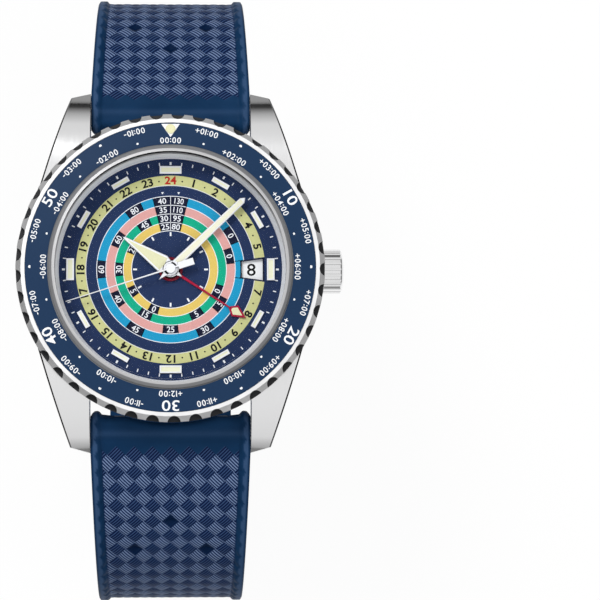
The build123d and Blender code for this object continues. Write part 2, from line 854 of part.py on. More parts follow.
# Three bridges that close the train, cut from one disc along two straight splits
train_outline = (
    (-movement_radius, barrel_bridge_edge - bridge_split),
    (train_edge_top - bridge_split, barrel_bridge_edge - bridge_split),
    (train_edge_bottom - bridge_split, -movement_radius),
    (-movement_radius, -movement_radius),
)
balance_outline = (
    (train_edge_top + bridge_split, barrel_bridge_edge - bridge_split),
    (movement_radius, barrel_bridge_edge - bridge_split),
    (movement_radius, -movement_radius),
    (train_edge_bottom + bridge_split, -movement_radius),
)
barrel_outline = (
    (-movement_radius, barrel_bridge_edge + bridge_split),
    (movement_radius, barrel_bridge_edge + bridge_split),
    (movement_radius, movement_radius),
    (-movement_radius, movement_radius),
)


def bridge(outline, angles, pivots):
    """Adds a bridge of the given outline, bored for its screws and pivots."""
    with BuildSketch(Plane.XY.offset(bridge_bottom)) as plan:
        Circle(movement_radius)
        with BuildLine():
            Polyline(*outline, close=True)
        make_face(mode=Mode.INTERSECT)
    extrude(plan.sketch, amount=bridge_thickness)
    for angle in angles:
        point = polar(post_circle_radius, angle)
        upright(screw_radius + running_gap, bridge_bottom, bridge_top, point, Mode.SUBTRACT)
        head_top = bridge_bottom + screw_head_height + running_gap
        upright(screw_head_radius + running_gap, bridge_bottom, head_top, point, Mode.SUBTRACT)
    for point in pivots:
        upright(jewel_radius, bridge_top - jewel_thickness, bridge_top, point, Mode.SUBTRACT)
        upright(pivot_radius + running_gap, bridge_bottom, bridge_top, point, Mode.SUBTRACT)


with BuildPart() as barrel_bridge:
    bridge(barrel_outline, barrel_post_angles, ())
    recess_top = bridge_bottom + wheel_recess_depth
    ratchet_recess = ratchet_pitch + 2 * ratchet_module
    upright(ratchet_recess, bridge_bottom, recess_top, barrel_at, Mode.SUBTRACT)
    upright(crown_wheel_pitch + 2 * ratchet_module, bridge_bottom, recess_top, crown_wheel_at, Mode.SUBTRACT)
    upright(2 * arbor_radius + running_gap, recess_top, bridge_top, barrel_at, Mode.SUBTRACT)
    # the crown wheel turns on this boss
    upright(arbor_radius, bridge_bottom, recess_top, crown_wheel_at)
write(barrel_bridge, "barrel_bridge")

with BuildPart() as train_bridge:
    bridge(train_outline, train_post_angles, pivot_points)
    upright(ratchet_recess, bridge_bottom, recess_top, barrel_at, Mode.SUBTRACT)
write(train_bridge, "train_bridge")

with BuildPart() as balance_bridge:
    bridge(balance_outline, balance_post_angles, (balance_at,))
    # stud that holds the outer end of the balance spring
    hairspring_reach = hairspring_inner_radius + hairspring_pitch * hairspring_turns
    stud_at = (balance_at[0] + hairspring_reach + arbor_radius, balance_at[1])
    upright(pivot_radius, bridge_top, fourth_bottom + hairspring_height, stud_at)
write(balance_bridge, "balance_bridge")

with BuildPart() as bridge_screws:
    for angle in post_angles:
        point = polar(post_circle_radius, angle)
        upright(screw_head_radius, bridge_bottom, bridge_bottom + screw_head_height, point)
        upright(screw_radius, bridge_bottom, bridge_top + screw_depth - running_gap, point)
write(bridge_screws, "bridge_screws")

with BuildPart() as jewels:
    for point in pivot_points + (balance_at,):
        collar(jewel_radius, pivot_radius + running_gap, bridge_top - jewel_thickness, bridge_top, point)
write(jewels, "jewels")

# Ring that holds the movement in the case and carries the dial
holder_bottom = bridge_bottom
with BuildPart() as movement_ring:
    with BuildSketch(Plane.XZ):
        with BuildLine():
            inner = movement_radius + seat_gap
            rebate = movement_radius + plate_flange + seat_gap
            Polyline(
                (inner, holder_bottom),
                (holder_diameter / 2, holder_bottom),
                (holder_diameter / 2, dial_bottom),
                (rebate, dial_bottom),
                (rebate, plate_top - plate_flange_thickness),
                (inner, plate_top - plate_flange_thickness),
                close=True,
            )
        make_face()
    revolve(axis=Axis.Z)
    with Locations((movement_radius, 0, stem_height)):
        Box(
            holder_diameter / 2,
            stem_slot_width,
            stem_slot_width,
            mode=Mode.SUBTRACT,
        )
    for number in range(clamp_count):
        point = polar(clamp_screw_circle, 360 / clamp_count * (number + 0.5))
        upright(screw_radius, holder_bottom, holder_bottom + screw_depth, point, Mode.SUBTRACT)
write(movement_ring, "movement_ring")

with BuildPart() as casing_clamps:
    for number in range(clamp_count):
        angle = 360 / clamp_count * (number + 0.5)
        clamp_plane = Plane.XY.offset(holder_bottom - clamp_thickness).rotated((0, 0, angle))
        with BuildSketch(clamp_plane) as clamp_plan:
            with Locations(((clamp_inner_radius + clamp_outer_radius) / 2, 0)):
                Rectangle(clamp_outer_radius - clamp_inner_radius, clamp_width)
            with Locations((clamp_screw_circle, 0)):
                Circle(screw_radius + running_gap, mode=Mode.SUBTRACT)
        extrude(clamp_plan.sketch, amount=clamp_thickness)
write(casing_clamps, "casing_clamps")

with BuildPart() as clamp_screws:
    clamp_bottom = holder_bottom - clamp_thickness
    for number in range(clamp_count):
        point = polar(clamp_screw_circle, 360 / clamp_count * (number + 0.5))
        head_bottom = clamp_bottom - screw_head_height
        upright(screw_head_radius, head_bottom, clamp_bottom, point)
        upright(screw_radius, head_bottom, holder_bottom + screw_depth - running_gap, point)
write(clamp_screws, "clamp_screws")

# Barrel drum with its mainspring, and the ratchet wheel on the barrel's arbor
gap_at_centre = 180 / centre_pinion_teeth
with BuildPart() as barrel:
    tooth_bottom = barrel_top - barrel_tooth_height
    toothed(barrel_teeth, barrel_pitch, barrel_angle + 180, tooth_bottom, barrel_top, barrel_at)
    drum_radius = barrel_pitch - 2 * tube_wall
    upright(drum_radius, barrel_bottom, barrel_top, barrel_at)
    cavity_bottom = barrel_bottom + level_gap
    upright(drum_radius - tube_wall, cavity_bottom, barrel_top - level_gap, barrel_at, Mode.SUBTRACT)
    upright(2 * arbor_radius + running_gap, barrel_bottom, barrel_top, barrel_at, Mode.SUBTRACT)
write(barrel, "barrel")

with BuildPart() as mainspring:
    spring_outer = drum_radius - tube_wall - running_gap
    spring_bore = 2 * arbor_radius + tube_wall
    coil_top = barrel_top - level_gap - running_gap
    collar(spring_outer, spring_bore, cavity_bottom + running_gap, coil_top, barrel_at)
write(mainspring, "mainspring")

with BuildPart() as ratchet_wheel:
    ratchet_bottom = bridge_bottom + running_gap / 2
    ratchet_top = bridge_bottom + wheel_recess_depth - running_gap / 2
    toothed(ratchet_teeth, ratchet_pitch, crown_wheel_angle, ratchet_bottom, ratchet_top, barrel_at)
    upright(2 * arbor_radius, ratchet_bottom, barrel_top + level_gap / 2, barrel_at)
    upright(arbor_radius, barrel_top, plate_top, barrel_at)
write(ratchet_wheel, "ratchet_wheel")

with BuildPart() as crown_wheel:
    facing = crown_wheel_angle + 180 + 180 / crown_wheel_teeth
    wheel_bore = arbor_radius + running_gap
    toothed(
        crown_wheel_teeth, crown_wheel_pitch, facing, ratchet_bottom, ratchet_top, crown_wheel_at, wheel_bore
    )
write(crown_wheel, "crown_wheel")

# Going train
with BuildPart() as centre_wheel:
    centre_top = centre_bottom + wheel_thickness
    pinion_bottom = tooth_bottom - running_gap
    toothed(centre_teeth, centre_pitch, third_angle, centre_bottom, centre_top)
    lighten(centre_pitch, centre_bottom, centre_top)
    meshing = barrel_angle + gap_at_centre
    toothed(centre_pinion_teeth, centre_pinion_pitch, meshing, pinion_bottom, centre_bottom)
    upright(centre_tube_radius, pinion_bottom, minute_hand_bottom)
    upright(centre_tube_bore, pinion_bottom, minute_hand_bottom, mode=Mode.SUBTRACT)
write(centre_wheel, "centre_wheel")

with BuildPart() as third_wheel:
    third_top = third_bottom + wheel_thickness
    toothed(third_teeth, third_pitch, third_angle + 180, third_bottom, third_top, third_at)
    lighten(third_pitch, third_bottom, third_top, third_at)
    meshing = third_angle + 180 + 180 / third_pinion_teeth
    toothed(third_pinion_teeth, third_pinion_pitch, meshing, centre_bottom - level_gap, centre_top, third_at)
    upright(arbor_radius, bridge_top + running_gap, centre_top, third_at)
    upright(pivot_radius, bridge_bottom, plate_top, third_at)
write(third_wheel, "third_wheel")

with BuildPart() as fourth_wheel:
    fourth_top = fourth_bottom + wheel_thickness
    toothed(fourth_teeth, fourth_pitch, escape_angle, fourth_bottom, fourth_top)
    lighten(fourth_pitch, fourth_bottom, fourth_top)
    meshing = third_angle + 180 / fourth_pinion_teeth
    toothed(fourth_pinion_teeth, fourth_pinion_pitch, meshing, fourth_top, third_top + running_gap)
    upright(pivot_radius, bridge_bottom + running_gap, seconds_hand_top)
write(fourth_wheel, "fourth_wheel")

with BuildPart() as escape_wheel:
    escape_top = escape_bottom + wheel_thickness
    with BuildSketch(Plane((escape_at[0], escape_at[1], escape_bottom))):
        with BuildLine():
            hooks = []
            lean_share, back_share = 0.42, 0.36
            for number in range(escape_teeth):
                middle = pallet_angle + 360 / escape_teeth * (number + 0.5)
                hooks.append(polar(escape_root_radius, middle))
                hooks.append(polar(escape_radius, middle + lean_share * 360 / escape_teeth))
                hooks.append(polar(escape_root_radius, middle + back_share * 360 / escape_teeth))
            Polyline(*hooks, close=True)
        make_face()
        Circle(escape_root_radius - tube_wall, mode=Mode.SUBTRACT)
        Rectangle(2 * escape_root_radius - tube_wall, tube_wall)
        Rectangle(tube_wall, 2 * escape_root_radius - tube_wall)
    extrude(amount=wheel_thickness)
    meshing = escape_angle + 180 + 180 / escape_pinion_teeth
    pinion_start = bridge_top + running_gap
    pinion_end = fourth_top + level_gap
    toothed(escape_pinion_teeth, escape_pinion_pitch, meshing, pinion_start, pinion_end, escape_at)
    upright(pivot_radius, bridge_bottom, plate_top, escape_at)
write(escape_wheel, "escape_wheel")

# Pallet fork between the escape wheel and the balance
along_pallet = Plane(
    origin=(pallet_at[0], pallet_at[1], escape_bottom), x_dir=(*balance_offset, 0), z_dir=(0, 0, 1)
)
with BuildPart() as pallet_fork:
    with BuildSketch(along_pallet):
        Circle(2 * arbor_radius)
        with Locations((fork_length / 2, 0)):
            Rectangle(fork_length, pallet_width)
        Rectangle(pallet_width, 2 * pallet_reach)
        with Locations((-pallet_width / 2, pallet_reach), (-pallet_width / 2, -pallet_reach)):
            Rectangle(2 * pallet_width, pallet_width)
        with Locations((fork_length, pallet_width), (fork_length, -pallet_width)):
            Rectangle(2 * pallet_width, pallet_width)
    extrude(amount=wheel_thickness)
    upright(pivot_radius, escape_bottom - level_gap, plate_top, pallet_at)
write(pallet_fork, "pallet_fork")

# Balance wheel and its flat spiral spring
balance_bottom = fourth_bottom + hairspring_height + level_gap
with BuildPart() as balance_wheel:
    with BuildSketch(Plane((balance_at[0], balance_at[1], balance_bottom))):
        Circle(balance_radius)
        Circle(balance_radius - balance_rim, mode=Mode.SUBTRACT)
        Rectangle(2 * balance_radius - balance_rim, balance_rim)
        Circle(2 * arbor_radius)
    extrude(amount=balance_height)
    upright(balance_staff_radius, bridge_top + running_gap, plate_bottom - running_gap, balance_at)
    upright(pivot_radius, bridge_bottom, plate_top, balance_at)
write(balance_wheel, "balance_wheel")


def spiral(centre, start_radius, pitch, turns, width, height, bottom):
    """Adds a flat spiral ribbon of half circles whose radius grows by half a pitch at each one."""
    with BuildSketch(Plane((centre[0], centre[1], bottom))) as ribbon:
        for number in range(2 * turns):
            side = 1 if number % 2 == 0 else -1
            radius = start_radius + pitch / 2 * number
            middle = -side * pitch / 4
            arc_start = (middle + side * radius, 0)
            arc_top = (middle, side * radius)
            arc_end = (middle - side * radius, 0)
            inner_start = (middle + side * (radius - width), 0)
            inner_top = (middle, side * (radius - width))
            inner_end = (middle - side * (radius - width), 0)
            with BuildLine():
                ThreePointArc(arc_start, arc_top, arc_end)
                Line(arc_end, inner_end)
                ThreePointArc(inner_end, inner_top, inner_start)
                Line(inner_start, arc_start)
            make_face()
    extrude(ribbon.sketch, amount=height)


with BuildPart() as balance_spring:
    spiral(
        balance_at,
        hairspring_inner_radius,
        hairspring_pitch,
        hairspring_turns,
        hairspring_wire,
        hairspring_height,
        fourth_bottom,
    )
write(balance_spring, "balance_spring")

# Motion work: drives the hour hand at 1 to 12 and the 24-hour hand at 1 to 24
first_level = plate_top + thin_gap
second_level = first_level + thin_wheel + thin_gap
third_level = second_level + thin_wheel + thin_gap
fourth_level = third_level + thin_wheel + thin_gap

with BuildPart() as cannon_pinion:
    meshing = minute_wheel_angle + 180 / cannon_teeth
    wheel_top = first_level + thin_wheel
    toothed(cannon_teeth, cannon_pitch, meshing, first_level, wheel_top, bore=centre_tube_radius)
    collar(cannon_radius, centre_tube_radius, first_level, minute_hand_bottom + hand_thickness)
write(cannon_pinion, "cannon_pinion")

with BuildPart() as minute_wheel:
    bore = pivot_radius + running_gap
    facing = minute_wheel_angle + 180
    toothed(minute_wheel_teeth, minute_wheel_pitch, facing, first_level, wheel_top, minute_wheel_at, bore)
    facing = facing + 180 / minute_pinion_teeth
    level_end = second_level + thin_wheel
    toothed(minute_pinion_teeth, minute_pinion_pitch, facing, wheel_top, level_end, minute_wheel_at, bore)
write(minute_wheel, "minute_wheel")

with BuildPart() as hour_wheel:
    toothed(
        hour_wheel_teeth,
        hour_wheel_pitch,
        minute_wheel_angle,
        second_level,
        second_level + thin_wheel,
        bore=hour_tube_bore,
    )
    toothed(
        hour_ring_teeth,
        hour_ring_pitch,
        idler_angle,
        second_level + thin_wheel,
        third_level + thin_wheel,
        bore=hour_tube_bore,
    )
    collar(hour_tube_radius, hour_tube_bore, second_level, hour_hand_bottom + hand_thickness)
write(hour_wheel, "hour_wheel")

with BuildPart() as gmt_idler:
    facing = idler_angle + 180 + 180 / idler_teeth
    toothed(idler_teeth, idler_pitch, facing, third_level, third_level + thin_wheel, idler_at, bore)
    toothed(
        idler_pinion_teeth,
        idler_pinion_pitch,
        idler_angle + 180,
        third_level + thin_wheel,
        fourth_level + thin_wheel,
        idler_at,
        bore,
    )
write(gmt_idler, "gmt_idler")

with BuildPart() as gmt_wheel:
    meshing = idler_angle + 180 / gmt_wheel_teeth
    toothed(
        gmt_wheel_teeth, gmt_wheel_pitch, meshing, fourth_level, fourth_level + thin_wheel, bore=gmt_tube_bore
    )
    collar(gmt_tube_radius, gmt_tube_bore, fourth_level, gmt_hand_bottom + hand_thickness)
write(gmt_wheel, "gmt_wheel")

# Date disc, a flat ring under the dial with inward teeth
with BuildPart() as date_disc:
    disc_bottom = dial_bottom - running_gap - date_disc_thickness
    with BuildSketch(Plane.XY.offset(disc_bottom)):
        Circle(date_disc_outer)
        with BuildLine():
            Polyline(*tooth_points(date_count, date_disc_inner, 0, internal=True), close=True)
        make_face(mode=Mode.SUBTRACT)
    extrude(amount=date_disc_thickness)
write(date_disc, "date_disc")

# Rotor: a half disc with a heavy rim that swings round its bearing behind the bridges
with BuildPart() as rotor:
    web_bottom = rotor_top - rotor_web
    with BuildSketch(Plane.XY.offset(web_bottom)):
        Circle(rotor_radius)
        with Locations((0, rotor_radius)):
            Rectangle(2 * rotor_radius, 2 * rotor_radius, mode=Mode.SUBTRACT)
        Circle(rotor_hub_radius)
        Circle(rotor_bore_radius, mode=Mode.SUBTRACT)
    extrude(amount=rotor_web)
    with BuildSketch(Plane.XY.offset(rotor_bottom)):
        Circle(rotor_radius)
        Circle(rotor_radius - rotor_rim_width, mode=Mode.SUBTRACT)
        with Locations((0, rotor_radius)):
            Rectangle(2 * rotor_radius, 2 * rotor_radius, mode=Mode.SUBTRACT)
    extrude(amount=rotor_rim_height)
write(rotor, "rotor")

with BuildPart() as rotor_bearing:
    flange_top = web_bottom - running_gap
    collar(bearing_radius, 2 * pivot_radius, flange_top, bridge_bottom)
    collar(bearing_flange, 2 * pivot_radius, flange_top - bearing_flange_thickness, flange_top)
write(rotor_bearing, "rotor_bearing")

# Crown tube, crown, stem and clutch pinion, all on one axis towards 3 o'clock
crown_start = case_radius + crown_gap
crown_end = crown_start + crown_length


def along_stem(radius, start, end, mode=Mode.ADD):
    """Adds or cuts a cylinder along the winding stem."""
    with Locations(Plane(origin=(start, 0, stem_height), z_dir=(1, 0, 0))):
        Cylinder(radius, end - start, align=(Align.CENTER, Align.CENTER, Align.MIN), mode=mode)


with BuildPart() as crown_tube:
    along_stem(crown_tube_radius, crown_tube_start, crown_tube_start + crown_tube_length)
    along_stem(crown_tube_bore, crown_tube_start, crown_tube_start + crown_tube_length, Mode.SUBTRACT)
write(crown_tube, "crown_tube")

with BuildPart() as crown:
    with BuildSketch(Plane.XZ):
        with BuildLine():
            rim = stem_height + crown_radius
            dome_rim = crown_radius - crown_flute_radius
            dome_rise = dome_height(dome_rim, crown_dome, dome_rim / 2)
            Polyline(
                (crown_end + crown_dome, stem_height),
                (crown_start, stem_height),
                (crown_start, rim - crown_flute_radius),
                (crown_start + crown_flute_radius, rim),
                (crown_end - crown_flute_radius, rim),
                (crown_end, rim - crown_flute_radius),
            )
            ThreePointArc(
                (crown_end, stem_height + dome_rim),
                (crown_end + dome_rise, stem_height + dome_rim / 2),
                (crown_end + crown_dome, stem_height),
            )
        make_face()
    revolve(axis=Axis((0, 0, stem_height), (1, 0, 0)))
    with Locations(Plane(origin=(crown_start - overrun, 0, stem_height), z_dir=(1, 0, 0))):
        with PolarLocations(crown_radius + crown_flute_radius / 2, crown_flute_count):
            Cylinder(
                crown_flute_radius,
                crown_length + 2 * overrun,
                align=(Align.CENTER, Align.CENTER, Align.MIN),
                mode=Mode.SUBTRACT,
            )
    along_stem(crown_bore_radius, crown_start, crown_start + crown_bore_depth, Mode.SUBTRACT)
write(crown, "crown")

with BuildPart() as crown_gasket:
    gasket_near = crown_start + seat_gap
    gasket_far = gasket_near + crown_gasket_thickness
    along_stem(crown_bore_radius - running_gap, gasket_near, gasket_far)
    along_stem(crown_tube_radius + running_gap, gasket_near, gasket_far, Mode.SUBTRACT)
write(crown_gasket, "crown_gasket")

with BuildPart() as winding_stem:
    along_stem(stem_radius, stem_start, crown_start + crown_bore_depth)
write(winding_stem, "winding_stem")

with BuildPart() as clutch_pinion:
    clutch_start = crown_wheel_x - clutch_length / 2
    with BuildSketch(Plane(origin=(clutch_start, 0, stem_height), z_dir=(1, 0, 0))):
        with BuildLine():
            Polyline(*tooth_points(clutch_teeth, clutch_radius - clutch_tooth_depth / 2, 0), close=True)
        make_face()
        Circle(stem_radius, mode=Mode.SUBTRACT)
    extrude(amount=clutch_length)
write(clutch_pinion, "clutch_pinion")

# Spring bars between the lugs
bar_body = lug_gap - 2 * bar_end_gap


def spring_bar(y, height, body, tip_length):
    """Adds a spring bar across the lugs: a tube with a thinner tip at each end."""
    with Locations((0, y, height)):
        Cylinder(bar_radius, body, rotation=(0, 90, 0))
        Cylinder(bar_tip_radius, body + 2 * tip_length, rotation=(0, 90, 0))


with BuildPart() as spring_bar_12:
    spring_bar(bar_y, bar_height, bar_body, bar_tip_length)
write(spring_bar_12, "spring_bar_12")

with BuildPart() as spring_bar_6:
    spring_bar(-bar_y, bar_height, bar_body, bar_tip_length)
write(spring_bar_6, "spring_bar_6")

# Strap halves. Each leaves its spring bar on a gentle slope, bends over and comes back in underneath.
lead_y = bar_y + strap_lead * cos(radians(strap_lead_slope))
lead_z = bar_height - strap_lead * sin(radians(strap_lead_slope))
slope_sin = sin(radians(strap_lead_slope))
slope_cos = cos(radians(strap_lead_slope))


def strap_numbers(reach, second_radius, run):
    """Radius of the first bend, height of its end, height and ends of the flat run, for one half."""
    first_radius = (reach - strap_above - lead_y) / (1 - slope_sin)
    horizon_z = lead_z - first_radius * slope_cos
    run_z = horizon_z - second_radius
    run_start = reach - strap_above - second_radius
    return first_radius, horizon_z, run_z, run_start, run_start - run


def strap_profile(side, reach, second_radius, run):
    """Adds a strap half at full width from its side view. The side is 1 at 12 o'clock and -1 at 6."""
    first_radius, horizon_z, run_z, run_start, run_end = strap_numbers(reach, second_radius, run)
    first_centre = (reach - strap_above - first_radius, horizon_z)
    second_centre = (run_start, horizon_z)

    def around(centre, radius, angle):
        return side * (centre[0] + radius * cos(radians(angle))), centre[1] + radius * sin(radians(angle))

    start_angle = 90 - strap_lead_slope
    middle_angle = start_angle / 2
    outer_one, inner_one = first_radius + strap_above, first_radius - strap_below
    outer_two, inner_two = second_radius + strap_above, second_radius - strap_below
    head_up = (side * (bar_y + strap_above * slope_sin), bar_height + strap_above * slope_cos)
    head_down = (side * (bar_y - strap_below * slope_sin), bar_height - strap_below * slope_cos)
    with BuildSketch(Plane.YZ) as view:
        with BuildLine():
            Line(head_up, around(first_centre, outer_one, start_angle))
            ThreePointArc(
                around(first_centre, outer_one, start_angle),
                around(first_centre, outer_one, middle_angle),
                around(first_centre, outer_one, 0),
            )
            ThreePointArc(
                around(second_centre, outer_two, 0),
                around(second_centre, outer_two, -45),
                around(second_centre, outer_two, -90),
            )
            Polyline(
                around(second_centre, outer_two, -90),
                (side * run_end, run_z - strap_above),
                (side * run_end, run_z + strap_below),
                around(second_centre, inner_two, -90),
            )
            ThreePointArc(
                around(second_centre, inner_two, -90),
                around(second_centre, inner_two, -45),
                around(second_centre, inner_two, 0),
            )
            ThreePointArc(
                around(first_centre, inner_one, 0),
                around(first_centre, inner_one, middle_angle),
                around(first_centre, inner_one, start_angle),
            )
            Polyline(around(first_centre, inner_one, start_angle), head_down, head_up)
        make_face()
        with Locations((side * bar_y, bar_height)):
            Circle(strap_above)
            Circle(bar_radius + bar_hole_gap, mode=Mode.SUBTRACT)
    extrude(view.sketch, amount=strap_width / 2, both=True)


def taper(side, reach, horizon_z, run_z):
    """Cuts both long edges of a strap half so that it narrows from the lugs to its flat run."""
    half, tail = strap_width / 2, strap_tail_width / 2
    middle = (half + tail) / 2
    start, end = bar_y + strap_above, reach
    with BuildSketch(Plane.XY.offset(horizon_z)) as upper:
        with BuildLine():
            Polyline(
                (half, side * start),
                (middle, side * end),
                (half + overrun, side * (end + overrun)),
                (half + overrun, side * start),
                close=True,
            )
        make_face()
        with BuildLine():
            Polyline(
                (middle, side * end),
                (middle, side * (end + overrun)),
                (half + overrun, side * (end + overrun)),
                close=True,
            )
        make_face()
        mirror(about=Plane.YZ)
    extrude(upper.sketch, amount=bar_height + 2 * strap_above - horizon_z, mode=Mode.SUBTRACT)
    low_end = run_z - strap_above - overrun
    with BuildSketch(Plane.XZ) as lower:
        with BuildLine():
            Polyline(
                (middle, horizon_z),
                (tail, run_z + strap_above),
                (tail, low_end),
                (half + overrun, low_end),
                (half + overrun, horizon_z),
                close=True,
            )
        make_face()
        mirror(about=Plane.YZ)
    extrude(lower.sketch, amount=reach + overrun, both=True, mode=Mode.SUBTRACT)


strap_6_first = (strap_6_reach - strap_above - lead_y) / (1 - slope_sin)
strap_6_turn_radius = lead_z - strap_6_first * slope_cos - strap_floor - strap_above
_, horizon_12, run_z_12, run_start_12, run_end_12 = strap_numbers(
    strap_12_reach, strap_12_turn_radius, strap_12_run
)
_, horizon_6, run_z_6, run_start_6, run_end_6 = strap_numbers(
    strap_6_reach, strap_6_turn_radius, strap_6_run
)

with BuildPart() as strap_12:
    strap_profile(1, strap_12_reach, strap_12_turn_radius, strap_12_run)
    taper(1, strap_12_reach, horizon_12, run_z_12)
    # round end that holds the buckle's bar, with the tongue's slot
    with Locations((0, run_end_12, run_z_12)):
        Cylinder(strap_above, strap_tail_width, rotation=(0, 90, 0))
        Cylinder(
            bar_radius + bar_hole_gap,
            strap_tail_width + overrun,
            rotation=(0, 90, 0),
            mode=Mode.SUBTRACT,
        )
        Box(tongue_slot, 2 * strap_above + tongue_slot, 2 * strap_above + overrun, mode=Mode.SUBTRACT)
write(strap_12, "strap_12")

with BuildPart() as strap_6:
    strap_profile(-1, strap_6_reach, strap_6_turn_radius, strap_6_run)
    taper(-1, strap_6_reach, horizon_6, run_z_6)
    # rounded tip and the row of buckle holes
    with BuildSketch(Plane.XY.offset(run_z_6 - strap_above - overrun)) as tip_cut:
        tip_y = -run_end_6
        with Locations((0, tip_y)):
            Rectangle(strap_width, 2 * tail_tip_radius + overrun)
        tip_round = tail_tip_radius - overrun / 2
        with Locations((0, tip_y - tail_tip_radius)):
            RectangleRounded(strap_tail_width, 2 * tail_tip_radius, tip_round, mode=Mode.SUBTRACT)
    extrude(tip_cut.sketch, amount=strap_above + strap_below + 2 * overrun, mode=Mode.SUBTRACT)
    with BuildSketch(Plane.XY.offset(run_z_6 - strap_above - overrun)) as holes:
        for number in range(tail_hole_count):
            with Locations((0, tip_y - tail_first_hole - tail_hole_pitch * number)):
                Circle(tail_hole_radius)
    extrude(holes.sketch, amount=strap_above + strap_below + 2 * overrun, mode=Mode.SUBTRACT)
write(strap_6, "strap_6")

# Buckle at the end of the 12 o'clock half: bar, frame and tongue
buckle_inner = strap_tail_width / 2 + buckle_gap
buckle_outer = buckle_inner + buckle_arm
buckle_bar_at = (0, run_end_12, run_z_12)

with BuildPart() as buckle_bar:
    with Locations(buckle_bar_at):
        Cylinder(bar_radius, 2 * buckle_outer, rotation=(0, 90, 0))
write(buckle_bar, "buckle_bar")

with BuildPart() as buckle_frame:
    with BuildSketch(Plane.XY.offset(run_z_12 - buckle_thickness / 2)):
        with BuildLine():
            Polyline(
                (-buckle_outer, run_end_12 + buckle_ear),
                (buckle_outer, run_end_12 + buckle_ear),
                (buckle_outer, run_end_12 - buckle_reach),
                (-buckle_outer, run_end_12 - buckle_reach),
                close=True,
            )
        make_face()
        with BuildLine():
            Polyline(
                (-buckle_inner, run_end_12 + buckle_ear),
                (buckle_inner, run_end_12 + buckle_ear),
                (buckle_inner, run_end_12 - buckle_reach + buckle_front),
                (-buckle_inner, run_end_12 - buckle_reach + buckle_front),
                close=True,
            )
        make_face(mode=Mode.SUBTRACT)
    extrude(amount=buckle_thickness)
    corner_edges = buckle_frame.edges().filter_by(Axis.Z).group_by(Axis.Y)[0]
    fillet(corner_edges, buckle_arm)
    chamfer(buckle_frame.edges().group_by(Axis.Z)[0], buckle_gap)
    with Locations(buckle_bar_at):
        Cylinder(bar_radius, 2 * buckle_outer, rotation=(0, 90, 0), mode=Mode.SUBTRACT)
write(buckle_frame, "buckle_frame")

with BuildPart() as buckle_tongue:
    ring_bore = bar_radius + running_gap
    ring_radius = ring_bore + tongue_ring_wall
    under_front = run_z_12 - buckle_thickness / 2 - seat_gap
    front_start = run_end_12 - buckle_reach + buckle_front
    with BuildSketch(Plane.YZ):
        with Locations((run_end_12, run_z_12)):
            Circle(ring_radius)
        with BuildLine():
            Polyline(
                (run_end_12, run_z_12 + tongue_thickness / 2),
                (front_start + buckle_front, under_front + tongue_thickness / 2),
                (front_start + running_gap, under_front),
                (run_end_12 - buckle_reach - tongue_overhang, under_front),
                (run_end_12 - buckle_reach - tongue_overhang, under_front - tongue_thickness / 2),
                (front_start + buckle_front, under_front - tongue_thickness),
                (run_end_12, run_z_12 - tongue_thickness),
                close=True,
            )
        make_face()
        with Locations((run_end_12, run_z_12)):
            Circle(ring_bore, mode=Mode.SUBTRACT)
    extrude(amount=tongue_width / 2, both=True)
write(buckle_tongue, "buckle_tongue")


def keeper(start):
    """Adds a keeper loop round the strap's flat run, with room for the other half below it."""
    half = strap_tail_width / 2 + keeper_gap
    top = run_z_12 + strap_below + keeper_gap
    bottom = run_z_12 - 2 * strap_above - strap_below - 2 * keeper_gap
    with BuildSketch(Plane.XZ.offset(-(run_end_12 + start + keeper_length))) as loop:
        with Locations((0, (top + bottom) / 2)):
            RectangleRounded(2 * (half + keeper_wall), top - bottom + 2 * keeper_wall, keeper_wall)
            Rectangle(2 * half, top - bottom, mode=Mode.SUBTRACT)
    extrude(loop.sketch, amount=keeper_length)


with BuildPart() as fixed_keeper:
    keeper(fixed_keeper_start)
write(fixed_keeper, "fixed_keeper")

with BuildPart() as sliding_keeper:
    keeper(sliding_keeper_start)
write(sliding_keeper, "sliding_keeper")

# Places that the joints need
print("strap 12 run", run_z_12, run_start_12, run_end_12, "horizon", horizon_12)
print("strap 6 run", run_z_6, run_start_6, run_end_6, "horizon", horizon_6)
print("balance at", balance_at, "pallet at", pallet_at, "escape at", escape_at)
print("barrel at", barrel_at, "crown wheel at", crown_wheel_at, "third at", third_at)
print("minute wheel at", minute_wheel_at, "idler at", idler_at)
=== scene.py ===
from math import ceil, cos, degrees, pi, radians, sin, sqrt

import bmesh
import bpy
import numpy as np
from mathutils import Matrix, Vector


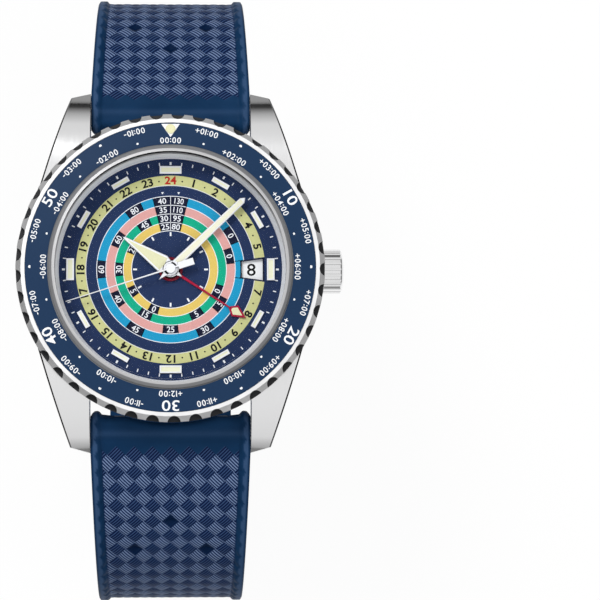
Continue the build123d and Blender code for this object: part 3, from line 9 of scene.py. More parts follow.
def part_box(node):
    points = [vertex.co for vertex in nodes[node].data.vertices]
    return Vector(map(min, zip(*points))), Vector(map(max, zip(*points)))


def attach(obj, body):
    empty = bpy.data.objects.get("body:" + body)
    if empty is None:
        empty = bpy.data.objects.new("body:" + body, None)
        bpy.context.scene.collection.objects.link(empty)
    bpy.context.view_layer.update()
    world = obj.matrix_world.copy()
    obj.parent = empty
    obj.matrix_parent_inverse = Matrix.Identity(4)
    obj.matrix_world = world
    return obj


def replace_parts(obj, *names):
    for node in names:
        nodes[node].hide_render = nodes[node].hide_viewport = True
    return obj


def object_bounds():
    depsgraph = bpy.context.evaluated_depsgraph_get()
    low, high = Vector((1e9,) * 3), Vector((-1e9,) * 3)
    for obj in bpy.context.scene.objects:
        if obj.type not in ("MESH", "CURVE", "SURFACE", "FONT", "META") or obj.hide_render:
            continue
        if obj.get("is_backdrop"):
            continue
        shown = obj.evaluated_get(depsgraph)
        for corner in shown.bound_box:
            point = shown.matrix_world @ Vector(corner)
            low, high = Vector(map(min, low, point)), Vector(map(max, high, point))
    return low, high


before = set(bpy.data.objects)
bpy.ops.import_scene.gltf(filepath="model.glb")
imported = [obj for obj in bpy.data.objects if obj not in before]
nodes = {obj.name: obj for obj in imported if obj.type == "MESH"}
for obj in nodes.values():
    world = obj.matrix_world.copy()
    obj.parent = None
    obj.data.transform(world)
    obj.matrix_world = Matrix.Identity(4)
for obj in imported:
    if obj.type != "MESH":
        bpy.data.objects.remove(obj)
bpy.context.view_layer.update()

# Lengths in this script are millimetres until a mesh is made, and then metres.
MM = 0.001
scene = bpy.context.scene

# Strap: the part's own sizes, with the moulded edge a hair wider
BAR_Y = 21.98
BAR_Z = 2.5
STRAP_HALF = 10.58
STRAP_TAIL_HALF = 9.0
STRAP_ABOVE = 1.75
STRAP_BELOW = 1.15
STRAP_LEAD = 1.5
STRAP_SLOPE = radians(12)
REACH_12 = 40.0
REACH_6 = 43.6
TURN_12 = 16.0
RUN_12 = 19.9
RUN_6 = 44.9
STRAP_FLOOR = -49.0
HOLE_RADIUS = 1.0
HOLE_FIRST = 9.0
HOLE_PITCH = 6.0
HOLE_COUNT = 7

# Head: radii, heights over the case back's face, and clock angles of the hands
DIAL_TOP = 7.2
INSERT_TOP_OUT = 10.6
INSERT_TOP_IN = 10.95
INSERT_IN = 16.1
INSERT_OUT = 19.0
CRYSTAL_CLEAR = 15.12
CRYSTAL_BEVEL = 15.5
CRYSTAL_OUT = 15.9
NOTCH_COUNT = 45
NOTCH_AXIS = 20.37
NOTCH_REACH = 0.87
NOTCH_PHASE = radians(2.7)
HAND_THICK = 0.18
GMT_Z, HOUR_Z, MINUTE_Z, SECONDS_Z = 7.42, 7.82, 8.22, 8.62
GMT_ANGLE, HOUR_ANGLE, MINUTE_ANGLE, SECONDS_ANGLE = 123.1, 304.1, 46.3, 252.3


# Small shader helpers
def linear(*srgb):
    """An sRGB colour given as 0 to 255, as the linear values a shader takes."""
    out = []
    for value in srgb:
        share = value / 255
        out.append(share / 12.92 if share <= 0.04045 else ((share + 0.055) / 1.055) ** 2.4)
    return tuple(out)


def darker(colour, share):
    return tuple(c * share for c in colour)


class Nodes:
    """A material's or the world's node tree, with short ways to add and link nodes."""

    def __init__(self, name, world=False):
        self.made = (bpy.data.worlds if world else bpy.data.materials).new(name)
        self.made.use_nodes = True
        self.tree = self.made.node_tree
        self.tree.nodes.clear()
        self.out = self.add("OutputWorld" if world else "OutputMaterial")

    def add(self, kind, **settings):
        node = self.tree.nodes.new("ShaderNode" + kind)
        for key, value in settings.items():
            setattr(node, key, value)
        return node

    def link(self, source, target):
        self.tree.links.new(source, target)

    def put(self, socket, value):
        """Links a socket to another one, or sets it to a number or to a colour of three numbers."""
        if isinstance(value, bpy.types.NodeSocket):
            self.link(value, socket)
        else:
            socket.default_value = (*value, 1.0) if isinstance(value, tuple) else value

    def math(self, operation, *values):
        node = self.add("Math", operation=operation)
        for socket, value in zip(node.inputs, values):
            self.put(socket, value)
        return node.outputs[0]

    def times(self, a, b):
        return self.math("MULTIPLY", a, b)

    def noise(self, vector, scale, detail=4, roughness=0.5):
        node = self.add("TexNoise")
        self.link(vector, node.inputs["Vector"])
        for key, value in (("Scale", scale), ("Detail", detail), ("Roughness", roughness)):
            node.inputs[key].default_value = value
        return node.outputs["Fac"]

    def speckle(self, stretch, detail=4, roughness=0.5):
        """Noise in object coordinates, which are metres. Stretch is its scale, or one scale for each axis."""
        mapping = self.add("Mapping")
        scales = stretch if isinstance(stretch, tuple) else (stretch,) * 3
        mapping.inputs["Scale"].default_value = scales
        self.link(self.add("TexCoord").outputs["Object"], mapping.inputs["Vector"])
        return self.noise(mapping.outputs["Vector"], 1.0, detail, roughness)

    def split(self, vector):
        """X, Y and Z of a vector, or of the texture coordinate of that name."""
        node = self.add("SeparateXYZ")
        if isinstance(vector, str):
            vector = self.add("TexCoord").outputs[vector]
        self.link(vector, node.inputs[0])
        return list(node.outputs)

    def length(self, x, y):
        return self.math("SQRT", self.math("ADD", self.times(x, x), self.times(y, y)))

    def attribute(self, name):
        return self.add("Attribute", attribute_name=name).outputs["Fac"]

    def grey(self, value, low, high, start=0.3, end=0.7):
        """A value mapped from start..end to low..high. Noise lies mostly from 0.3 to 0.7."""
        node = self.add("MapRange")
        self.link(value, node.inputs["Value"])
        for key, bound in (("From Min", start), ("From Max", end), ("To Min", low), ("To Max", high)):
            node.inputs[key].default_value = bound
        return node.outputs["Result"]

    def mix(self, factor, a, b):
        node = self.add("Mix", data_type="RGBA")
        for socket, value in zip((node.inputs[0], node.inputs[6], node.inputs[7]), (factor, a, b)):
            self.put(socket, value)
        return node.outputs[2]

    def bump(self, height, strength, distance):
        node = self.add("Bump")
        node.inputs["Strength"].default_value = strength
        node.inputs["Distance"].default_value = distance
        self.link(height, node.inputs["Height"])
        return node.outputs["Normal"]

    def shader(self, kind, **values):
        """A shader with constants and links by socket name, an underscore standing for a space."""
        node = self.add(kind)
        for key, value in values.items():
            self.put(node.inputs[key.replace("_", " ")], value)
        return node.outputs[0]

    def mix_shaders(self, factor, one, two):
        node = self.add("MixShader")
        for socket, value in zip(node.inputs, (factor, one, two)):
            self.put(socket, value)
        return node.outputs[0]

    def surface(self, shader):
        """Links a shader to the output, and returns what was made."""
        self.link(shader, self.out.inputs["Surface"])
        return self.made

    def principled(self, **values):
        return self.surface(self.shader("BsdfPrincipled", **values))


# Materials: small numbers are shares, or noise scales per metre
def brushed(name, colour, stretch, rough=(0.24, 0.36), dim=0.9, patches=0.2, depth=0.00001):
    """Metal brushed along one axis: stretch is the grain's scale along X, Y and Z."""
    n = Nodes(name)
    grain = n.speckle(stretch, 3, 0.6)
    dark = darker(colour, dim)
    return n.principled(
        Base_Color=n.mix(n.grey(n.speckle(90, 2), 0, patches, 0, 1), n.mix(grain, dark, colour), dark),
        Metallic=1.0,
        Roughness=n.grey(grain, *rough),
        Normal=n.bump(grain, 0.35, depth),
    )


def polished(name, colour, rough=(0.05, 0.11), metallic=1.0):
    """Polished metal or stone with faint wipe marks."""
    n = Nodes(name)
    haze = n.speckle(700)
    return n.principled(
        Base_Color=n.mix(haze, darker(colour, 0.93), colour),
        Metallic=metallic,
        Roughness=n.grey(haze, *rough),
        Normal=n.bump(n.speckle(9000, 2), 0.1, 0.000001),
    )


def printed(name, srgb, rough=0.5, spread=0.06, grain=6000, gloss=0.12):
    """Matt ink or lacquer with a fine pigment grain."""
    n, colour = Nodes(name), linear(*srgb)
    fine = n.speckle(grain, 3, 0.7)
    dark = darker(colour, 1 - 2 * spread)
    pale = tuple(min(1.0, c * (1 + spread)) for c in colour)
    tint = n.mix(n.grey(fine, 0, 1), dark, pale)
    return n.principled(
        Base_Color=n.mix(n.grey(n.speckle(300, 2), 0, 0.3, 0, 1), tint, dark),
        Roughness=n.grey(fine, rough - 0.06, rough + 0.06),
        Specular_IOR_Level=gloss,
        Normal=n.bump(fine, 0.15, 0.000004),
    )


def satin(name, colour, rough=0.42, metallic=0.55):
    """Blasted metal, even under any light."""
    n = Nodes(name)
    fine = n.speckle(5000, 3, 0.6)
    return n.principled(
        Base_Color=n.mix(fine, darker(colour, 0.92), colour),
        Metallic=metallic,
        Roughness=n.grey(fine, rough - 0.05, rough + 0.05),
        Normal=n.bump(fine, 0.1, 0.000002),
    )


def clear_crystal(name, edge=CRYSTAL_CLEAR * MM, bevel=CRYSTAL_BEVEL * MM, soft=0.00006):
    """Sapphire: clear with a faint gloss, and ground to a satin round its edge, painted lighter where that
    lies level and painted darker as shade on its bevel.
    """
    n = Nodes(name)
    facing = n.add("LayerWeight")
    facing.inputs["Blend"].default_value = 0.12
    amount = n.times(facing.outputs["Fresnel"], n.grey(n.speckle(260, 3), 0.12, 0.2))
    clear = n.shader("BsdfTransparent", Color=(0.985, 0.99, 1.0))
    gloss = n.shader("BsdfGlossy", Color=(1.0, 1.0, 1.0), Roughness=0.03)
    x, y, _ = n.split("Object")
    radius = n.length(x, y)
    turned = n.add("CombineXYZ")
    n.link(radius, turned.inputs[0])
    streak = n.noise(turned.outputs[0], 7000, 2)
    # Painted light and shade: the ground ring is lighter where it lies level and darker on its bevel, for how
    # light falls on each; the streaks are its grinding.
    level = n.mix(streak, (0.36, 0.36, 0.365), (0.56, 0.56, 0.57))
    bevel_painted_shade = n.mix(streak, (0.18, 0.18, 0.185), (0.32, 0.32, 0.33))
    outwards = n.grey(radius, 0, 1, bevel - soft, bevel + soft)
    tint = n.mix(outwards, level, bevel_painted_shade)
    ground = n.shader("BsdfPrincipled", Base_Color=tint, Metallic=0.3, Roughness=0.35)
    inner = n.mix_shaders(amount, clear, gloss)
    return n.surface(n.mix_shaders(n.math("GREATER_THAN", radius, edge), inner, ground))


def case_material():
    """The mid case: brushed where it lies level or stands upright, polished on its rounded tips,
    with painted dark reflection on its bevels."""
    n = Nodes("case_steel")
    x, _, level = n.split("Normal")
    leaning = n.times(n.grey(level, 0, 1, 0.1, 0.2), n.grey(level, 1, 0, 0.93, 0.985))
    grain = n.speckle((6000, 150, 1500), 3, 0.6)
    brushing = n.grey(grain, 0.18, 0.25)
    sideways = n.grey(n.math("ABSOLUTE", x), 0, 1, 0.3, 0.5)
    # Painted reflection: where the surface leans sideways, its colour is near black, standing for the dark
    # surroundings a polished bevel reflects.
    bevel = n.times(sideways, n.grey(level, 0, 1, 0.25, 0.4))
    steel = n.mix(grain, (0.85, 0.85, 0.855), STEEL)
    return n.principled(
        Base_Color=n.mix(bevel, steel, (0.05, 0.05, 0.052)),
        Metallic=1.0,
        Roughness=n.math("SUBTRACT", brushing, n.times(leaning, 0.13)),
        Normal=n.bump(grain, 0.3, 0.000002),
    )


def rim_material():
    """The bezel's rim: polished steel with painted shade, near black, in its notches, found by where they are
    cut.
    """
    n = Nodes("bezel_steel")
    x, y, _ = n.split("Object")
    radius = n.length(x, y)
    pitch = 2 * pi / NOTCH_COUNT
    turn = n.math("DIVIDE", n.math("SUBTRACT", n.math("ARCTAN2", x, y), NOTCH_PHASE), pitch)
    angle = n.times(n.math("SUBTRACT", turn, n.math("ROUND", turn)), pitch)
    side = n.times(radius, n.math("SINE", angle))
    along = n.math("SUBTRACT", n.times(radius, n.math("COSINE", angle)), NOTCH_AXIS * MM)
    notch_shade = n.math("LESS_THAN", n.length(side, along), NOTCH_REACH * MM)
    haze = n.speckle(350, 2)
    return n.principled(
        # Painted shade: inside the notches the colour is near black and not metallic, for the shade beneath
        # the rim.
        Base_Color=n.mix(notch_shade, n.mix(haze, (0.8, 0.8, 0.805), BRIGHT), (0.012, 0.013, 0.016)),
        Metallic=n.math("SUBTRACT", 1.0, notch_shade),
        Roughness=n.math("ADD", n.times(notch_shade, 0.3), n.grey(haze, 0.34, 0.42)),
        Normal=n.bump(n.speckle(8000, 2), 0.1, 0.000001),
    )


def strap_material():
    """Moulded rubber: the fine grooves run one way on the diamonds painted lit and the other way on those
    painted shaded, the two by turns; the grooves carry painted highlight lines, the deep diamonds painted
    shade and the ridges and the fold a painted highlight. U is across the strap and V along it, in diamonds;
    the mask is 1 where the diamonds are."""
    n = Nodes("strap_rubber")
    u, v, _ = n.split(n.add("UVMap", uv_map="diamonds").outputs[0])
    a, b = n.math("ADD", u, v), n.math("SUBTRACT", u, v)
    side, ridge_highlight = n.attribute("side"), n.attribute("ridge_highlight")
    first_row = n.math("SUBTRACT", n.times(side, v), n.math("PINGPONG", u, 0.5))
    mask = n.times(n.attribute("mask"), n.math("GREATER_THAN", first_row, -1.0))
    # Painted light and shade: where this is 1 the diamond is painted shaded, elsewhere painted lit.
    dark = n.math("FLOORED_MODULO", n.math("ADD", n.math("FLOOR", a), n.math("FLOOR", b)), 2.0)
    light = n.math("SUBTRACT", 1.0, dark)
    grooves = n.math("MULTIPLY_ADD", side, -pi, 9 * pi)
    waves = [n.math("COSINE", n.times(way, grooves)) for way in (a, b)]
    groove = n.math("ADD", n.times(waves[0], light), n.times(waves[1], dark))
    groove = n.times(n.grey(groove, 0, 1, -1, 1), mask)
    # Painted highlight: the grooves' crests are coloured as bright lines, on the lit and the shaded copies of
    # the rubber.
    groove_highlight = n.times(groove, groove)
    lit = n.mix(groove_highlight, linear(12, 32, 72), linear(126, 147, 182))
    shade = n.mix(groove_highlight, linear(2, 14, 50), linear(56, 79, 118))
    # Painted shade: the deep diamonds are coloured dark.
    cells = n.mix(n.attribute("deep_shade"), n.mix(dark, lit, shade), linear(5, 26, 56))
    pores = n.speckle(5200, 4, 0.6)
    base = n.mix(n.grey(n.speckle(140, 3), 0, 1, 0.35, 0.65), linear(13, 43, 74), linear(19, 51, 84))
    # Painted highlight along the ridges and on the fold's crest.
    tint = n.mix(n.times(ridge_highlight, 0.6), n.mix(mask, base, cells), linear(62, 88, 124))
    return n.principled(
        Base_Color=n.mix(n.grey(pores, 0, 0.2), tint, linear(14, 36, 68)),
        Roughness=n.grey(pores, 0.38, 0.52),
        Specular_IOR_Level=0.03,
        Normal=n.bump(n.math("ADD", groove, n.times(pores, 0.18)), 0.5, 0.00008),
    )


STEEL = (0.88, 0.88, 0.885)
BRIGHT = (0.9, 0.9, 0.905)
BRASS = (0.66, 0.53, 0.3)

case_metal = case_material()
back_metal = brushed("back_brushed", STEEL, (120, 4200, 900))
lip_metal = polished("steel_polished", BRIGHT)
flange_metal = satin("flange_satin", (0.97, 0.97, 0.975), metallic=0.2)
# Painted shade: dark steel standing for the shade in the joint between insert and crystal.
sleeve_painted_shade = satin("sleeve_satin_painted_shade", (0.16, 0.165, 0.175), rough=0.5, metallic=0.5)
bar_metal = brushed("bar_turned", STEEL, (6000, 300, 300), (0.18, 0.3))
buckle_metal = brushed("buckle_brushed", STEEL, (90, 4200, 1500))
works_metal = brushed("works_brass", BRASS, (60, 3600, 600), (0.26, 0.4))
wheel_metal = brushed("wheel_gilt", (0.8, 0.6, 0.28), (2500, 2500, 200), (0.2, 0.3))
spring_metal = brushed("hardened_steel", (0.42, 0.45, 0.52), (2400, 2400, 900), (0.2, 0.34))
rotor_metal = brushed("rotor_brushed", (0.72, 0.6, 0.36), (3600, 60, 600), (0.24, 0.36))
ruby = polished("ruby", (0.55, 0.02, 0.08), metallic=0.0)
gasket = printed("gasket_rubber", (22, 22, 24), 0.6)
holder_plastic = printed("holder_plastic", (190, 190, 184))
insert_paint = printed("insert_navy", (26, 51, 82), 0.4, 0.04, 5000, 0.1)
dial_paint = printed("dial_navy", (41, 55, 88), 0.6, 0.05, 6000, 0.02)
# Navy print of the scale's number windows and the block, and also the painted shade round the date window.
window_ink_and_shade = printed("window_navy_and_shade", (24, 28, 50), gloss=0.06)
white_ink = printed("white_ink", (238, 240, 242), spread=0.03)
black_ink = printed("black_ink", (20, 20, 22), 0.55)
red_ink = printed("red_ink", (185, 38, 30))
lume_paint = printed("lume_cream", (226, 224, 182), 0.6, 0.05, 9000)
ring_lime = printed("ring_lime", (206, 206, 143), 0.55, 0.05)
ring_yellow = printed("ring_yellow", (224, 193, 100), spread=0.05)
ring_green = printed("ring_green", (10, 168, 130), spread=0.05)
ring_pink = printed("ring_pink", (219, 161, 154), spread=0.05)
ring_blue = printed("ring_blue", (26, 150, 192), spread=0.05)
date_white = printed("date_white", (246, 246, 244), spread=0.03)
red_gloss = printed("red_gloss", (168, 30, 60), 0.3, 0.05)
# Painted shade: a darker copy of the GMT hand's red for its hub, for the shade under the other hands.
red_painted_shade = printed("red_painted_shade", (112, 16, 36), 0.3, 0.05)
# Painted light: the markers' lume is a paler copy of the hands' lume, to offset the shade it lies in below
# the marker frames.
lume_painted_light = printed("lume_painted_light", (252, 250, 216), 0.6, 0.04, 9000)
lume_pale = printed("lume_pale", (235, 232, 205), 0.6, 0.04, 9000)
hand_metal = satin("hand_satin", (0.93, 0.93, 0.94), 0.36)
glass = clear_crystal("sapphire_clear")
bezel_metal = rim_material()
strap_rubber = strap_material()

# The CAD nodes that stay, by material
FINISHES = (
    (case_metal, "mid_case"), (back_metal, "case_back"), (flange_metal, "flange_ring"),
    (bezel_metal, "bezel_ring"), (lip_metal, "crown_tube crown"), (glass, "crystal"), (ruby, "jewels"),
    (bar_metal, "spring_bar_12 spring_bar_6 buckle_bar"), (buckle_metal, "buckle_frame buckle_tongue"),
    (works_metal, "mainplate barrel_bridge train_bridge balance_bridge"), (rotor_metal, "rotor"),
    (wheel_metal, "barrel centre_wheel third_wheel fourth_wheel balance_wheel minute_wheel hour_wheel"),
    (wheel_metal, "gmt_idler gmt_wheel"),
    (spring_metal, "escape_wheel cannon_pinion bezel_spring mainspring balance_spring pallet_fork"),
    (spring_metal, "ratchet_wheel crown_wheel bridge_screws clamp_screws casing_clamps winding_stem"),
    (spring_metal, "clutch_pinion rotor_bearing"), (gasket, "case_back_gasket crown_gasket crystal_gasket"),
    (insert_paint, "bezel_insert"), (dial_paint, "dial"), (lume_painted_light, "marker_lume"),
    (lume_paint, "bezel_pip"), (hand_metal, "hour_markers"), (date_white, "date_disc"),
    (holder_plastic, "movement_ring"),
)
for finish, node_names in FINISHES:
    for node_name in node_names.split():
        nodes[node_name].data.materials.clear()
        nodes[node_name].data.materials.append(finish)


# Building pieces
def placed(name, data):
    """A new object in the scene."""
    obj = bpy.data.objects.new(name, data)
    scene.collection.objects.link(obj)
    return obj


def skin(count, size, closed=False):
    """Quads over count loops of size points each, the last loop joined to the first when closed."""
    quads = []
    for i in range(count if closed else count - 1):
        here, after = size * i, size * ((i + 1) % count)
        for j in range(size):
            k = (j + 1) % size
            quads.append((here + j, here + k, after + k, after + j))
    return quads


def turns(count):
    return [2 * pi * i / count for i in range(count)]


class Mesh:
    """Gathers vertices in millimetres and faces with a material each."""

    def __init__(self):
        self.points, self.faces, self.slots, self.materials = [], [], [], []

    def add(self, points, faces, material):
        if material not in self.materials:
            self.materials.append(material)
        start = len(self.points)
        self.points.extend(points)
        self.faces.extend(tuple(start + i for i in face) for face in faces)
        self.slots.extend([self.materials.index(material)] * len(faces))

    def loft(self, loops, material, closed=False):
        """A skin over loops of points, with its ends capped, or joined to each other."""
        size, points = len(loops[0]), [point for loop in loops for point in loop]
        faces = skin(len(loops), size, closed)
        if not closed:
            faces += [tuple(reversed(range(size))), tuple(range(len(points) - size, len(points)))]
        self.add(points, faces, material)

    def prism(self, outline, bottom, top, material):
        """An upright prism. The outline is anticlockwise seen from above."""
        self.loft([[(x, y, z) for x, y in outline] for z in (bottom, top)], material)

    def sweep(self, inner, outer, bottom, top, material, angles, closed):
        """A flat band turned through angles."""
        corners = ((inner, bottom), (outer, bottom), (outer, top), (inner, top))
        self.loft([[(r * sin(a), r * cos(a), z) for r, z in corners] for a in angles], material, closed)

    def sector(self, inner, outer, start, end, bottom, top, material, step=2.0):
        """Part of a flat ring between two clock angles."""
        count = max(2, int(ceil((end - start) / step)) + 1)
        angles = [radians(start + (end - start) * i / (count - 1)) for i in range(count)]
        self.sweep(inner, outer, bottom, top, material, angles, False)

    def ring(self, inner, outer, bottom, top, material, count=180):
        """A whole flat ring."""
        self.sweep(inner, outer, bottom, top, material, turns(count), True)

    def bar(self, angle, inner, outer, width, bottom, top, material):
        """A bar along a radius, at a clock angle."""
        turn = radians(angle)
        corners = ((inner, width / 2), (outer, width / 2), (outer, -width / 2), (inner, -width / 2))
        outline = [(r * sin(turn) + s * cos(turn), r * cos(turn) - s * sin(turn)) for r, s in corners]
        self.prism(outline[::-1], bottom, top, material)

    def disc(self, x, y, radius, bottom, top, material, count):
        outline = [(x + radius * cos(t), y + radius * sin(t)) for t in turns(count)]
        self.prism(outline, bottom, top, material)

    def build(self, name, smooth=False):
        """Makes the object, with its faces outwards."""
        mesh = bpy.data.meshes.new(name)
        mesh.from_pydata([(x * MM, y * MM, z * MM) for x, y, z in self.points], [], self.faces)
        for material in self.materials:
            mesh.materials.append(material)
        mesh.polygons.foreach_set("material_index", self.slots)
        mesh.polygons.foreach_set("use_smooth", [smooth] * len(self.faces))
        mesh.update()
        outward = bmesh.new()
        outward.from_mesh(mesh)
        bmesh.ops.recalc_face_normals(outward, faces=outward.faces)
        outward.to_mesh(mesh)
        outward.free()
        return placed(name, mesh)

    def piece(self, name, body, smooth=False):
        """Makes the object, which rides on a body."""
        obj = self.build(name, smooth)
        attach(obj, body)
        return obj


def clock(radius, angle):
    """The place at a radius and a clock angle."""
    return radius * sin(radians(angle)), radius * cos(radians(angle))


glyph_cache = {}


def glyphs(text, weight):
    """Vertices and faces of a text in units of its size, centred on its middle and with its depth from
    0 to 1, and its width and height."""
    key = (text, weight)
    if key not in glyph_cache:
        curve = bpy.data.curves.new("text", "FONT")
        curve.body = text
        curve.offset = weight
        curve.resolution_u = 3
        curve.extrude = 0.5
        obj = bpy.data.objects.new("text", curve)
        mesh = bpy.data.meshes.new_from_object(obj)
        points = np.array([v.co[:] for v in mesh.vertices])
        low, high = points.min(0), points.max(0)
        points[:, :2] -= (low[:2] + high[:2]) / 2
        points[:, 2] += 0.5
        faces = [tuple(p.vertices) for p in mesh.polygons]
        bpy.data.meshes.remove(mesh)
        bpy.data.objects.remove(obj)
        bpy.data.curves.remove(curve)
        glyph_cache[key] = (points, faces, high[0] - low[0], high[1] - low[1])
    return glyph_cache[key]


def write(target, text, radius, angle, bottom, top, material, cap, weight=0.01, stretch=1.0, spin=0):
    """Puts a text on a circle at a clock angle, with its top outwards, or spun from there.
    Cap is a numeral's height. Bottom and top may be functions of the radius."""
    points, faces, _, _ = glyphs(text, weight)
    scale = cap / glyphs("0", weight)[3]
    turn = radians(angle + spin)
    centre = clock(radius, angle)
    moved = []
    for x, y, z in points:
        x, y = x * scale * stretch, y * scale
        px = centre[0] + x * cos(turn) + y * sin(turn)
        py = centre[1] - x * sin(turn) + y * cos(turn)
        reach = sqrt(px * px + py * py)
        low, high = (level(reach) if callable(level) else level for level in (bottom, top))
        moved.append((px, py, low + (high - low) * z))
    target.add(moved, faces, material)


# Dial printing: two layers of ink, each with its foot and its top, and the width of the lines
PRINT = 0.012
FIRST = (DIAL_TOP - 0.004, DIAL_TOP + PRINT)
SECOND = (DIAL_TOP, DIAL_TOP + 2 * PRINT)
LINE = 0.09
# The dark block at 12 and the date window at 3, as half their angles, and where the window starts
BLOCK = 14.0
WINDOW_SIDE = 7.2
WINDOW_CUT = 9.2
RING_EDGES = (5.13, 6.23, 7.36, 8.52, 9.72)
# Colour, half the angle of a number's dark window, and the numbers with their clock angles
RINGS = (
    (ring_yellow, 6.4, (("25", 298.5), ("5", 239.9), ("0", 202.7))),
    (ring_green, 7.1, (("45", 329.9), ("30", 270), ("15", 209), ("5", 150), ("0", 114.9))),
    (ring_pink, 7.1, (("60", 299.7), ("40", 240.8), ("25", 180), ("5", 125.2), ("0", 77.2))),
    (ring_blue, 7.0, (("80", 328.7), ("60", 270), ("45", 210.4), ("30", 150.2), ("0", 60.6))),
)
# Numbers on the block, left and right of its middle
BLOCK_NUMBERS = (("25", "80"), ("30", "95"), ("35", "110"), ("40", "130"))
BLOCK_SHIFT = 7.1
# Arrowheads over the block: their angle, half their angle, and the radii of tip and base
ARROW_ANGLE, ARROW_HALF, ARROW_TIP, ARROW_BASE = 6.0, 1.0, 10.02, 10.3
# Ticks: inner and outer radius, and width
HOUR_TICK = (4.42, 4.93, 0.22)
FIVE_TICK = (13.88, 14.27, 0.25)
MINUTE_TICK = (13.8, 14.22, 0.14)
# 24-hour ring
DAY_IN, DAY_OUT, DAY_LINE = 11.17, 12.47, 11.1
DAY_SPAN = (97.6, 442.4)
DAY_NUMBERS, DAY_DOTS, DOT_RADIUS = 11.83, 11.76, 0.11


def around_window(low, high, paint):
    """Splits a stretch of a ring that the date window cuts into."""
    start, end = 90 - WINDOW_SIDE, 90 + WINDOW_SIDE
    if low < start and high > end:
        return [(low, start, paint), (start, end, paint), (end, high, paint)]
    return [(low, high, paint)]


def scale_ring(inner, outer, colour, half, windows):
    """One coloured ring of the scale, with its numbers in dark windows and a line at each edge."""
    cut = outer > WINDOW_CUT
    start, spans = BLOCK, []
    for angle, text in sorted((angle, text) for text, angle in windows):
        spans += [(start, angle - half, colour), (angle - half, angle + half, window_ink_and_shade)]
        start = angle + half
        spin = 180 if 90 < angle < 269 else 0
        middle = (inner + outer) / 2
        write(numbers, text, middle, angle, *SECOND, white_ink, cap=0.8, stretch=0.98, spin=spin)
    spans += [(start, 360 - BLOCK, colour), (-BLOCK, BLOCK, window_ink_and_shade)]
    if cut:
        spans = [part for span in spans for part in around_window(*span)]
    for low, high, paint in spans:
        reach = WINDOW_CUT if cut and low == 90 - WINDOW_SIDE else outer - LINE / 2
        dial_print.sector(inner + LINE / 2, reach, low, high, *FIRST, paint)
        for edge in (low, high):
            if abs(edge - 90) != WINDOW_SIDE:
                numbers.bar(edge, inner, outer, LINE, *SECOND, white_ink)


dial_print = Mesh()
numbers = Mesh()
for inner, outer, ring in zip(RING_EDGES, RING_EDGES[1:], RINGS):
    scale_ring(inner, outer, *ring)
# The circles between the rings, the last one open at the date window, and the line down the block
for radius in RING_EDGES[:-1]:
    numbers.ring(radius - LINE / 2, radius + LINE / 2, *SECOND, white_ink)
last, open_span = RING_EDGES[-1], (90 + WINDOW_SIDE, 450 - WINDOW_SIDE)
numbers.sector(last - LINE / 2, last + LINE / 2, *open_span, *SECOND, white_ink)
numbers.bar(0, RING_EDGES[0], last, LINE * 0.8, *SECOND, white_ink)
for inner, outer, pair in zip(RING_EDGES, RING_EDGES[1:], BLOCK_NUMBERS):
    for text, shift in zip(pair, (-BLOCK_SHIFT, BLOCK_SHIFT)):
        wide = 1.06 if len(text) < 3 else 0.9
        write(numbers, text, (inner + outer) / 2, shift, *SECOND, white_ink, cap=0.76, stretch=wide)
for tip in (-ARROW_ANGLE, ARROW_ANGLE):
    corners = ((ARROW_BASE, tip + ARROW_HALF), (ARROW_BASE, tip - ARROW_HALF), (ARROW_TIP, tip))
    numbers.prism([clock(*corner) for corner in corners], *SECOND, white_ink)
for number in range(12):
    numbers.bar(30 * number, *HOUR_TICK, *FIRST, white_ink)
# The 24-hour ring, which leaves out 6 and the dots beside it for the date window
dial_print.sector(DAY_IN, DAY_OUT, *DAY_SPAN, *FIRST, ring_lime)
numbers.sector(DAY_LINE, DAY_IN + 0.01, *DAY_SPAN, *FIRST, white_ink)
for hour in range(1, 25):
    ink = red_ink if hour == 24 else black_ink
    if hour != 6:
        write(numbers, str(hour), DAY_NUMBERS, 15 * hour, *SECOND, ink, cap=1.08, weight=0.03, stretch=1.1)
    if hour not in (6, 7):
        numbers.disc(*clock(DAY_DOTS, 15 * hour - 7.5), DOT_RADIUS, *SECOND, black_ink, 12)
for minute in range(60):
    numbers.bar(6 * minute, *(MINUTE_TICK if minute % 5 else FIVE_TICK), *FIRST, white_ink)
dial_print.piece("dial_rings", "watch_head")
numbers.piece("dial_numbers", "watch_head")

# Painted shade round the date window's recess: where the window ends, half its width at each end, and the
# shaded edge's own width
WINDOW_END = 12.25
WINDOW_HALF_IN, WINDOW_HALF_OUT = 1.05, 1.43
WINDOW_EDGE = 0.12
window_shade_edge = Mesh()
wide_in, wide_out = WINDOW_HALF_IN + WINDOW_EDGE, WINDOW_HALF_OUT + WINDOW_EDGE
for side in (-1, 1):
    edge = [(WINDOW_CUT, side * WINDOW_HALF_IN), (WINDOW_END, side * WINDOW_HALF_OUT),
            (WINDOW_END, side * wide_out), (WINDOW_CUT, side * wide_in)]
    window_shade_edge.prism(edge if side > 0 else edge[::-1], *FIRST, window_ink_and_shade)
for low, high, half in ((WINDOW_CUT, 9.34, wide_in), (12.16, 12.36, wide_out)):
    window_shade_edge.prism([(low, -half), (high, -half), (high, half), (low, half)], *FIRST, window_ink_and_shade)
window_shade_edge.piece("date_window_shade", "watch_head")

# Numbers on the date disc, read from the dial's middle outwards, with the one that shows at 3
DATE_RADIUS = 10.65
DATE_LEVEL = (6.745, 6.765)
DATE_SHOWN = 8
dates = Mesh()
for day in range(1, 32):
    wide = 1.12 if day < 10 else 0.72
    angle = 90 + (DATE_SHOWN - day) * 360 / 31
    write(dates, str(day), DATE_RADIUS, angle, *DATE_LEVEL, black_ink, cap=1.62, stretch=wide, spin=-90)
dates.piece("date_numbers", "date_ring")


